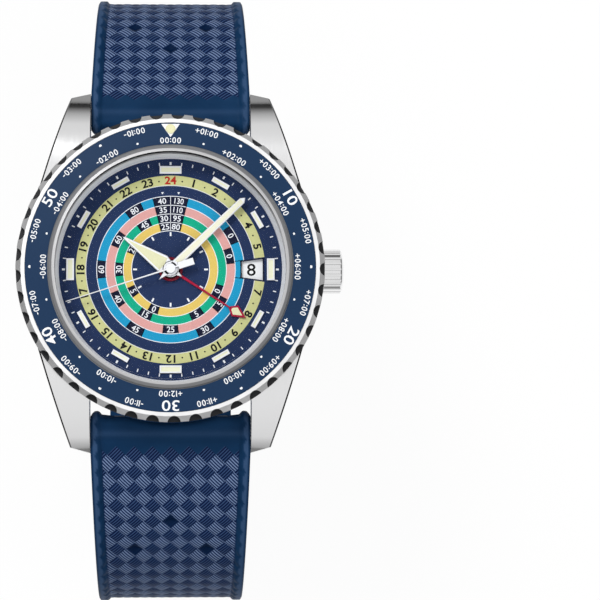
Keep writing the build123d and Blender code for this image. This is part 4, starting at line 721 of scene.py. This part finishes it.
# Bezel printing, on the cone of the insert
def cone(radius):
    share = (radius - INSERT_IN) / (INSERT_OUT - INSERT_IN)
    return INSERT_TOP_IN + (INSERT_TOP_OUT - INSERT_TOP_IN) * share


def under(radius):
    return cone(radius) - 0.004


def over(radius):
    return cone(radius) + PRINT


# Radii and a numeral's height, measured in pixels, PX of them to a millimetre
PX = 7.605
INNER_ROW, OUTER_ROW = 126.6 / PX, 139.4 / PX
OFFSET_DOTS, FIVE_DOTS = 127.0 / PX, 139.6 / PX
MINUTE_ROW, MINUTE_CAP = 138.2 / PX, 10.7 / PX
TRIANGLE_TIP, TRIANGLE_BASE = 129.7 / PX, 143.3 / PX
TRIANGLE_HALF = 1.22
TRIANGLE_HOLLOW = 0.3
PIP_PLACE, PIP_RADIUS = 18.14, 0.66
bezel_print = Mesh()


def dot_on_cone(radius, angle, size, material, lift=PRINT):
    height = cone(radius)
    bezel_print.disc(*clock(radius, angle), size, height - 0.03, height + lift, material, 16)


def curved(text, radius, angle, cap=0.8, weight=0.01):
    """Writes a text letter by letter round the insert."""
    scale = cap / glyphs("0", weight)[3]
    widths = [glyphs(letter, weight)[2] * scale for letter in text]
    gap = 0.17 * cap
    place = -(sum(widths) + gap * (len(text) - 1)) / 2
    for letter, width in zip(text, widths):
        middle = degrees((place + width / 2) / radius)
        write(bezel_print, letter, radius, angle + middle, under, over, white_ink, cap, weight)
        place += width + gap


for place in range(24):
    angle = 15 * place
    offset = place if place <= 12 else place - 24
    sign = "+" if offset > 0 else "-" if offset < 0 else ""
    curved(f"{sign}{abs(offset):02d}:00", OUTER_ROW if place % 2 else INNER_ROW, angle)
    if place % 2:
        dot_on_cone(OFFSET_DOTS, angle, 0.15, white_ink)
for number in range(10, 60, 10):
    write(bezel_print, str(number), MINUTE_ROW, 6 * number, under, over, white_ink, MINUTE_CAP, stretch=1.26)
for angle in range(30, 360, 60):
    dot_on_cone(FIVE_DOTS, angle, 0.19, white_ink)
# The triangle at 12 with a hollow middle, so that it reads as a white border
outline = [(0.0, TRIANGLE_TIP), (-TRIANGLE_HALF, TRIANGLE_BASE), (TRIANGLE_HALF, TRIANGLE_BASE)]
centre = sum(y for _, y in outline) / 3
hollow = [(x * TRIANGLE_HOLLOW, centre + (y - centre) * TRIANGLE_HOLLOW) for x, y in outline]
levels = ((outline, PRINT), (hollow, PRINT), (hollow, -0.02), (outline, -0.02))
loops = [[(x, y, cone(sqrt(x * x + y * y)) + lift) for x, y in loop] for loop, lift in levels]
bezel_print.loft(loops, white_ink, closed=True)
dot_on_cone(PIP_PLACE, 0, PIP_RADIUS, lume_paint, 0.03)
bezel_print.piece("bezel_numbers", "bezel")

# Sleeve in the joint between the insert and the crystal, its steel darkened as painted shade in the joint
SLEEVE_FOOT = 10.3
sleeve = Mesh()
sleeve.ring(CRYSTAL_OUT + 0.02, INSERT_IN - 0.01, SLEEVE_FOOT, INSERT_TOP_IN - 0.05, sleeve_painted_shade)
sleeve.piece("insert_sleeve", "bezel")


# Hands: each of one or two bevelled plates, all but the seconds hand with a luminous inlay
def shrunk(outline, bevel):
    """An outline moved inwards, held back at its sharp corners."""
    count, moved = len(outline), []
    for i in range(count):
        before, here, after = (np.array(outline[(i + k) % count]) for k in (-1, 0, 1))
        one = (here - before) / np.linalg.norm(here - before)
        two = (after - here) / np.linalg.norm(after - here)
        square = np.array([-one[1], one[0]])
        inward = np.array([-one[1] - two[1], one[0] + two[0]])
        length = np.linalg.norm(inward)
        inward = inward / length if length > 1e-6 else square
        moved.append(here + inward * bevel / max(0.35, abs(np.dot(inward, square))))
    return moved


def hand(name, body, node, angle, bottom, plates, hub, bevel, inlay=None, metal=hand_metal,
         hub_metal=hand_metal, paint=lume_paint, rise=0.0, edge=0.05):
    """A hand from plates of (outline along the hand, crest): a bevel starts its crest under the top.
    The round hub stands above the plates by the rise, with its edge broken."""
    turn, top = radians(angle), bottom + HAND_THICK
    target = Mesh()

    def place(x, y):
        return x * sin(turn) + y * cos(turn), x * cos(turn) - y * sin(turn)

    for outline, crest in plates:
        levels = ((outline, bottom), (outline, top - crest), (shrunk(outline, bevel), top))
        target.loft([[(*place(x, y), z) for x, y in loop] for loop, z in levels], metal)
    levels = ((hub, bottom), (hub, top + rise - edge), (hub - edge, top + rise))
    target.loft([[(r * cos(t), r * sin(t), z) for t in turns(48)] for r, z in levels], hub_metal)
    if inlay:
        target.prism([place(x, y) for x, y in inlay][::-1], bottom + 0.02, top + 0.03, paint)
    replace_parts(target.piece(name, body), node)


def strip(*points):
    """An outline that is the same on both sides of the hand, anticlockwise: points from tail to tip."""
    upper = [(x, y) for x, y in points if y > 0]
    ends = [(x, y) for x, y in points if y == 0]
    tail = [p for p in ends if p[0] <= points[0][0]]
    tip = [p for p in ends if p[0] >= points[-1][0]]
    return tail + [(x, -y) for x, y in upper] + tip + upper[::-1]


def bar_outline(start, end, half, end_half):
    return [(start, -half), (end, -end_half), (end, end_half), (start, half)]


hand("hour_hand_dressed", "hour_pipe", "hour_hand", HOUR_ANGLE, HOUR_Z,
     [(strip((-1.85, 0), (1.3, 1.18), (7.3, 0.16), (7.6, 0)), 0.08)], hub=1.1, bevel=0.07,
     inlay=strip((1.0, 0), (1.12, 0.93), (6.9, 0)))
hand("minute_hand_dressed", "minute_arbor", "minute_hand", MINUTE_ANGLE, MINUTE_Z,
     [(strip((-2.15, 0), (0, 0.57), (13.05, 0.43), (13.6, 0)), 0.08)], hub=0.95, bevel=0.07,
     inlay=bar_outline(1.2, 13.0, 0.34, 0.25), paint=lume_pale)
hand("seconds_hand_dressed", "seconds_arbor", "seconds_hand", SECONDS_ANGLE, SECONDS_Z,
     [(bar_outline(-1.1, 14.4, 0.11, 0.06), 0.05), (bar_outline(-3.2, -1.05, 0.46, 0.46), 0.06)],
     hub=0.66, bevel=0.035, rise=0.03)
hand("gmt_hand_dressed", "gmt_pipe", "gmt_hand", GMT_ANGLE, GMT_Z,
     [(bar_outline(0.9, 9.45, 0.19, 0.1), 0.08), (strip((9.25, 0.16), (10.1, 0.85), (11.85, 0)), 0.08)],
     hub=1.6, bevel=0.06, inlay=strip((9.62, 0.14), (10.14, 0.56), (11.25, 0)), metal=red_gloss,
     hub_metal=red_painted_shade)


# Straps
class Route:
    """A strap half's neutral line in its own side view, with the way it narrows."""

    def __init__(self, side, reach, turn, run):
        self.side, self.reach = side, reach
        lead_y = BAR_Y + STRAP_LEAD * cos(STRAP_SLOPE)
        lead_z = BAR_Z - STRAP_LEAD * sin(STRAP_SLOPE)
        self.first = (reach - STRAP_ABOVE - lead_y) / (1 - sin(STRAP_SLOPE))
        self.horizon = lead_z - self.first * cos(STRAP_SLOPE)
        self.turn = turn if turn else self.horizon - STRAP_FLOOR - STRAP_ABOVE
        self.run_z = self.horizon - self.turn
        self.first_y = reach - STRAP_ABOVE - self.first
        self.run_y = reach - STRAP_ABOVE - self.turn
        self.turn_start = STRAP_LEAD + self.first * (pi / 2 - STRAP_SLOPE)
        self.run_start = self.turn_start + self.turn * pi / 2
        self.length = self.run_start + run

    def at(self, s):
        """(y, z) on the neutral line and the outward normal, at a length from the spring bar."""
        if s < STRAP_LEAD:
            y, z = BAR_Y + s * cos(STRAP_SLOPE), BAR_Z - s * sin(STRAP_SLOPE)
            angle = pi / 2 - STRAP_SLOPE
        elif s < self.turn_start:
            angle = pi / 2 - STRAP_SLOPE - (s - STRAP_LEAD) / self.first
            y, z = self.first_y + self.first * cos(angle), self.horizon + self.first * sin(angle)
        elif s < self.run_start:
            angle = -(s - self.turn_start) / self.turn
            y, z = self.run_y + self.turn * cos(angle), self.horizon + self.turn * sin(angle)
        else:
            angle = -pi / 2
            y, z = self.run_y - (s - self.run_start), self.run_z
        return y, z, cos(angle), sin(angle)

    def half(self, y, z):
        """Half the strap's width at a place."""
        middle = (STRAP_HALF + STRAP_TAIL_HALF) / 2
        start = BAR_Y + STRAP_ABOVE
        if z >= self.horizon:
            share = min(1.0, max(0.0, (y - start) / (self.reach - start)))
            return STRAP_HALF + (middle - STRAP_HALF) * share
        low = self.run_z + STRAP_ABOVE
        share = min(1.0, max(0.0, (self.horizon - z) / (self.horizon - low)))
        return middle + (STRAP_TAIL_HALF - middle) * share


# Diamonds: their pitch across and along, where they start and end, and the three deep ones
DIAMOND_ACROSS = 2.4
DIAMOND_ALONG = 2.29
DIAMOND_FIRST_12 = 1.58
DIAMOND_GROWTH_12 = 0.055
DIAMOND_FAR = 2.75
STEADY_12 = 7
FAR_6 = 15.77
PATTERN_12, PATTERN_END_12 = 2.44, 50.0
PATTERN_6, PATTERN_END_6 = 3.17, 62.0
DEEP_CELLS = ((0, 3.5), (-2, 5.5), (2, 5.5))
# Heights of the outer face over the neutral line, how far in its ridges and pattern start, and its edges
RIDGE_TOP = 1.72
BAND = 1.34
CELL_BASE = 1.22
CELL_RISE = 0.15
DEEP_RIM, DEEP = 0.1, 0.5
FOLD = 0.1
SCALLOP, SCALLOP_DEPTH = 2.1, 0.4
RIDGE_SIDE, PATTERN_SIDE = (0.75, 1.48), (1.42, 1.56)
PATTERN_FADE = 0.3
OUTER_ROUND, INNER_ROUND = 0.32, 0.25
# The end round the bezel: radii, shoulder, and where the edge's ridges begin
END_RADIUS = 20.05
END_SHOULDER = 19.05
END_RIDGE = 18.42
END_CORNER = 9.85
END_BLEND = (8.8, 9.6)
TIP_6 = 6.0


def smoothstep(low, high, value):
    share = np.clip((value - low) / (high - low), 0, 1)
    return share * share * (3 - 2 * share)


def quarter(share):
    """The height of a quarter circle at a share of its width."""
    return np.sqrt(np.clip(1 - (1 - np.clip(share, 0, 1)) ** 2, 0, 1))


def bell(s, centre, width):
    return np.exp(-((s - centre) / width) ** 2)


def strap_end(x):
    """How far in the strap's end reaches: round the bezel in the middle, with its ridges further in."""
    middle = np.maximum(np.sqrt(END_RADIUS**2 - x**2), END_SHOULDER)
    rounded = END_RIDGE + 1.3 * np.clip(np.abs(x) - END_CORNER, 0, None) ** 2
    return middle + (rounded - middle) * smoothstep(*END_BLEND, np.abs(x))


def rows_12(s):
    """How many diamonds along a place is: they grow from the lugs until their pitch is steady."""
    steady = PATTERN_12 + DIAMOND_FIRST_12 * STEADY_12 + DIAMOND_GROWTH_12 * STEADY_12**2
    before = np.minimum(s, steady) - PATTERN_12
    square = np.clip(DIAMOND_FIRST_12**2 + 4 * DIAMOND_GROWTH_12 * before, 0.1, None)
    growing = (np.sqrt(square) - DIAMOND_FIRST_12) / (2 * DIAMOND_GROWTH_12)
    return growing + np.maximum(s - steady, 0) / DIAMOND_ALONG


def rows_6(s):
    """How many diamonds along a place is: past FAR_6 they are a little longer."""
    return (np.minimum(s, FAR_6) - PATTERN_6) / DIAMOND_ALONG + np.maximum(s - FAR_6, 0) / DIAMOND_FAR


def punched(obj, holes, low, high):
    """The object's mesh with upright round holes cut through it, each wall left flat-shaded."""
    cutter = Mesh()
    for x, y in holes:
        cutter.disc(x, y, HOLE_RADIUS, low, high, strap_rubber, 40)
    cutter = cutter.build("hole_cutter")
    cut = obj.modifiers.new("holes", "BOOLEAN")
    cut.operation, cut.solver, cut.object = "DIFFERENCE", "EXACT", cutter
    graph = bpy.context.evaluated_depsgraph_get()
    result = bpy.data.meshes.new_from_object(
        obj.evaluated_get(graph), preserve_all_data_layers=True, depsgraph=graph
    )
    obj.modifiers.clear()
    cutter_mesh = cutter.data
    bpy.data.objects.remove(cutter)
    bpy.data.meshes.remove(cutter_mesh)
    return result


def outer_face(x, s, edge, side, rows_in, pattern_end):
    """Heights of the outer face, and what the material reads there: place in diamonds, and masks.
    Edge is the distance in from the strap's edge, and rows_in how many diamonds along the place is."""
    scallop = SCALLOP_DEPTH * np.abs(np.sin(pi * s / SCALLOP))
    on_ridge = 1 - smoothstep(RIDGE_SIDE[0] + scallop, RIDGE_SIDE[1], edge)
    cell_u, cell_v = x / DIAMOND_ACROSS, side * rows_in
    zigzag = np.abs(cell_u - np.round(cell_u)) - 1
    finished = 1 - smoothstep(pattern_end - PATTERN_FADE, pattern_end + PATTERN_FADE, s)
    here = smoothstep(-0.06, 0.06, rows_in - zigzag) * finished
    a, b = cell_u + cell_v, cell_u - cell_v
    pillow = np.sin(pi * (a - np.floor(a))) * np.sin(pi * (b - np.floor(b)))
    cells = CELL_BASE + CELL_RISE * np.sqrt(np.clip(pillow, 0, 1))
    # This mask marks the three deep diamonds, which the material paints with shade.
    deep_shade = np.zeros(len(x))
    for deep_u, deep_v in DEEP_CELLS:
        far = 2 * np.abs(cell_u - deep_u) + 2 * np.abs(rows_in - deep_v)
        cells = np.where(far < 1, CELL_BASE + DEEP_RIM - DEEP * (1 - far), cells)
        deep_shade += np.clip(4 * (1 - far), 0, 1)
    crest = bell(s, -0.8, 0.45)
    level = BAND + (FOLD * crest - FOLD * bell(s, 0.05, 0.3))
    level = level + (cells - BAND) * here
    height = level + (RIDGE_TOP - level) * on_ridge - OUTER_ROUND * (1 - quarter(edge / OUTER_ROUND))
    # Painted highlight along the ridge's crest, its inner edge scalloped.
    lit = smoothstep(0.2, 0.4, edge) * (1 - smoothstep(0.45, 0.6, edge - scallop))
    return height, cell_u, cell_v, finished * smoothstep(*PATTERN_SIDE, edge), lit, crest, deep_shade


def strap_faces(count, outer, columns, side):
    """Quads between the rows of the skin, and both ends closed by strips between outer and inner face."""
    faces = [face if side < 0 else face[::-1] for face in skin(count, columns)]
    steps = columns - outer - 1
    for base, flip in ((0, side > 0), ((count - 1) * columns, side < 0)):
        inner = [base + outer + j for j in range(steps + 1)][::-1]
        for j in range(steps):
            low, high = (base + round(k * (outer - 1) / steps) for k in (j, j + 1))
            face = tuple(range(low, high + 1)) + (inner[j + 1], inner[j])
            faces.append(face if flip else face[::-1])
    return faces


def strap_piece(name, body, replaced, route, rows_at, pattern_end, step=0.2, tip=None, holes=()):
    """A moulded strap half: a closed skin of rows along the route, the first ones its rounded end."""
    side, total = route.side, route.length
    outer_across, inner_across = np.linspace(-1, 1, 107), np.linspace(1, -1, 15)
    head = (0.0, 0.02, 0.06, 0.12, 0.2, 0.3, 0.4, 0.5, 0.6, 0.7, 0.8, 0.9)
    rows = [(True, t) for t in head] + [(False, s) for s in np.arange(0.0, total + step / 2, step)]
    columns = len(outer_across) + len(inner_across)
    points = np.zeros((len(rows), columns, 3))
    uv = np.zeros((len(rows), columns, 2))
    layers = {label: np.zeros((len(rows), columns)) for label in ("mask", "ridge_highlight", "deep_shade", "side")}
    layers["side"] += side
    for index, (at_head, value) in enumerate(rows):
        for shares, offset in ((outer_across, 0), (inner_across, len(outer_across))):
            span = (index, slice(offset, offset + len(shares)))
            if at_head:
                back = (BAR_Y - strap_end(shares * STRAP_HALF)) / cos(STRAP_SLOPE)
                s, round_off = -back * (1 - value), quarter(value / 0.3)
            else:
                s, round_off = np.full(len(shares), value), 1.0
            y, z, ny, nz = (np.array(v) for v in zip(*(route.at(v) for v in s)))
            half = np.array([route.half(max(yy, BAR_Y), zz) for yy, zz in zip(y, z)])
            if tip is not None:
                left = total - s
                narrow = np.sqrt(np.clip(1 - ((tip - left) / (half + 0.4)) ** 2, 0.02, 1))
                half = np.where(left < tip, half * narrow, half)
            x = shares * half
            edge = half - np.abs(x)
            if offset == 0:
                height, u, v, mask, lit, crest, deep_shade = outer_face(x, s, edge, side, rows_at(s), pattern_end)
                layers["mask"][span], layers["deep_shade"][span] = mask, deep_shade
                # Painted highlight on the ridge, and on the fold's crest near the end.
                layers["ridge_highlight"][span] = np.maximum(lit, 0.4 * crest * round_off)
            else:
                height = -(STRAP_BELOW - 0.02 - INNER_ROUND * (1 - quarter(edge / INNER_ROUND)))
                u, v = x / DIAMOND_ACROSS, side * s / DIAMOND_ALONG
            height = height * round_off
            points[span] = np.stack((x, side * (y + ny * height), z + nz * height), -1)
            uv[span] = np.stack((u, v), -1)
    mesh = bpy.data.meshes.new(name)
    faces = strap_faces(len(rows), len(outer_across), columns, side)
    mesh.from_pydata([tuple(p) for p in points.reshape(-1, 3) * MM], [], faces)
    layer = mesh.uv_layers.new(name="diamonds")
    corners = np.zeros(len(mesh.loops), int)
    mesh.loops.foreach_get("vertex_index", corners)
    layer.data.foreach_set("uv", uv.reshape(-1, 2)[corners].ravel())
    for label, values in layers.items():
        mesh.attributes.new(label, "FLOAT", "POINT").data.foreach_set("value", values.ravel())
    mesh.polygons.foreach_set("use_smooth", [True] * len(mesh.polygons))
    mesh.materials.append(strap_rubber)
    mesh.update()
    obj = placed(name, mesh)
    if holes:
        obj.data = punched(obj, holes, route.run_z - 2 * STRAP_BELOW, route.run_z + 2 * STRAP_ABOVE)
        obj.data.name = name
        bpy.data.meshes.remove(mesh)
    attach(obj, body)
    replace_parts(obj, replaced)


route_12 = Route(1, REACH_12, TURN_12, RUN_12)
route_6 = Route(-1, REACH_6, None, RUN_6)
strap_piece("strap_12_moulded", "strap_12", "strap_12", route_12, rows_12, PATTERN_END_12)
first_hole = RUN_6 - route_6.run_y - HOLE_FIRST
tail_holes = [(0.0, first_hole - HOLE_PITCH * number) for number in range(HOLE_COUNT)]
strap_piece("strap_6_moulded", "strap_6", "strap_6", route_6, rows_6, PATTERN_END_6, tip=TIP_6,
            holes=tail_holes)


# Keepers: loops of the strap's rubber with a moulded rib
def keeper_piece(name, body, replaced, wall=1.0, corner=1.0, inner_corner=0.12, rib=0.12, ribs=3):
    low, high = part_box(replaced)
    y0, y1, half = low.y / MM, high.y / MM, high.x / MM
    z0, z1 = low.z / MM, high.z / MM
    outer, inner = [], []
    right, top, foot = half - corner, z1 - corner, z0 + corner
    for cx, cz, start in ((right, top, 0), (-right, top, 90), (-right, foot, 180), (right, foot, 270)):
        for k in range(7):
            angle = radians(start + 15 * k)
            outer.append((cx + corner * cos(angle), cz + corner * sin(angle)))
            ix = cx + inner_corner * cos(angle) if abs(cx) < half - wall else cx
            iz = cz + inner_corner * sin(angle)
            inner.append((max(-half + wall, min(half - wall, ix)), max(z0 + wall, min(z1 - wall, iz))))
    middle_z = (z0 + z1) / 2
    stations = [y0, y0 + 0.15, y0 + 0.4, *np.linspace(y0 + 0.7, y1 - 0.7, 13), y1 - 0.4, y1 - 0.15, y1]
    profile = []
    for y in stations:
        edge = min(y - y0, y1 - y)
        rise = rib * abs(sin(pi * (y - y0) / (y1 - y0) * ribs)) if edge > 0.4 else 0
        shrink = 0.3 * (1 - quarter(edge / 0.4)) + rib - rise
        profile.append((y, 1 - shrink / half, 1 - shrink / (z1 - middle_z)))
    loops = []
    for (x, z), (ix, iz) in zip(outer, inner):
        loop = [(x * thinner, y, middle_z + (z - middle_z) * lower) for y, thinner, lower in profile]
        loops.append(loop + [(ix, y, iz) for y in reversed(stations)])
    target = Mesh()
    target.loft(loops, strap_rubber, closed=True)
    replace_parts(target.piece(name, body, smooth=True), replaced)


keeper_piece("fixed_keeper_moulded", "strap_12", "fixed_keeper")
keeper_piece("sliding_keeper_moulded", "keeper", "sliding_keeper")


# Surroundings, in metres
def floor(half=4.0, height=-0.0491):
    """Grey to the light; white to the camera, and in the part's reflections near it, with its shadow."""
    n = Nodes("floor")
    path = n.add("LightPath")
    away = n.add("VectorMath", operation="LENGTH")
    n.link(n.add("TexCoord").outputs["Object"], away.inputs[0])
    near = n.grey(away.outputs["Value"], 1, 0, 0.1, 0.18)
    mirrored = n.math("MAXIMUM", path.outputs["Is Glossy Ray"], path.outputs["Is Transmission Ray"])
    seen = n.math("MAXIMUM", path.outputs["Is Camera Ray"], n.times(mirrored, near))
    shadowed = n.shader("BsdfDiffuse", Color=n.grey(seen, 0.25, 0.86, 0, 1))
    white = n.shader("Emission", Color=(1.0, 1.0, 1.0), Strength=1.0)
    mesh = bpy.data.meshes.new("floor")
    corners = ((-half, -half), (half, -half), (half, half), (-half, half))
    mesh.from_pydata([(x, y, height) for x, y in corners], [], [(0, 1, 2, 3)])
    mesh.materials.append(n.surface(n.mix_shaders(n.times(seen, 0.93), shadowed, white)))
    placed("floor", mesh)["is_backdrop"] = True


def studio(strength=0.84, lean=-0.25):
    """Bright overhead and darker towards the horizon, as in a studio tent."""
    n = Nodes("studio", world=True)
    _, y, z = n.split("Generated")
    height = n.math("MULTIPLY_ADD", n.math("MINIMUM", y, 0.0), lean, z)
    sky = n.add("ValToRGB")
    n.link(height, sky.inputs["Fac"])
    stops = sky.color_ramp.elements
    for place in (0.1, 0.28, 0.52):
        stops.new(place)
    for stop, level in zip(stops, (0.03, 0.05, 0.5, 0.9, 1.0)):
        stop.color = (level, level, level, 1.0)
    return n.surface(n.shader("Background", Color=sky.outputs["Color"], Strength=strength))


def lamp(name, place, size, power):
    """A round soft lamp that faces the watch."""
    data = bpy.data.lights.new(name, "AREA")
    data.shape = "DISK"
    data.size = size
    data.energy = power
    obj = placed(name, data)
    obj.location = place
    obj.rotation_euler = (-Vector(place)).to_track_quat("-Z", "Y").to_euler()


def camera(distance=0.385, tilt=radians(6), roll=radians(-0.24), height=0.0102, aim=(0.01692, -0.00433),
           focal=7.64 * 385, picture=600, sensor=36.0):
    """The photograph's view: a little from straight above, towards 6 o'clock. Focal is in pixels."""
    data = bpy.data.cameras.new("camera")
    obj = placed("camera", data)
    data.sensor_fit = "HORIZONTAL"
    data.sensor_width = sensor
    data.lens = focal / picture * sensor
    data.clip_start = 0.01
    data.clip_end = 20.0
    eye = Vector((0, -distance * sin(tilt), height + distance * cos(tilt)))
    back = (eye - Vector((*aim, height))).normalized()
    right = Vector((0, 1, 0)).cross(back).normalized()
    up = back.cross(right)
    right, up = right * cos(roll) + up * sin(roll), up * cos(roll) - right * sin(roll)
    obj.matrix_world = Matrix([*zip(right, up, back, eye), (0, 0, 0, 1)])
    return obj


floor()
scene.world = studio()
lamp("key", (-0.35, 0.45, 0.75), 0.35, 4.6)
lamp("fill", (0.6, -0.3, 0.6), 0.5, 1.2)
scene.camera = camera()

scene.view_settings.view_transform = "Standard"
low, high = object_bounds()
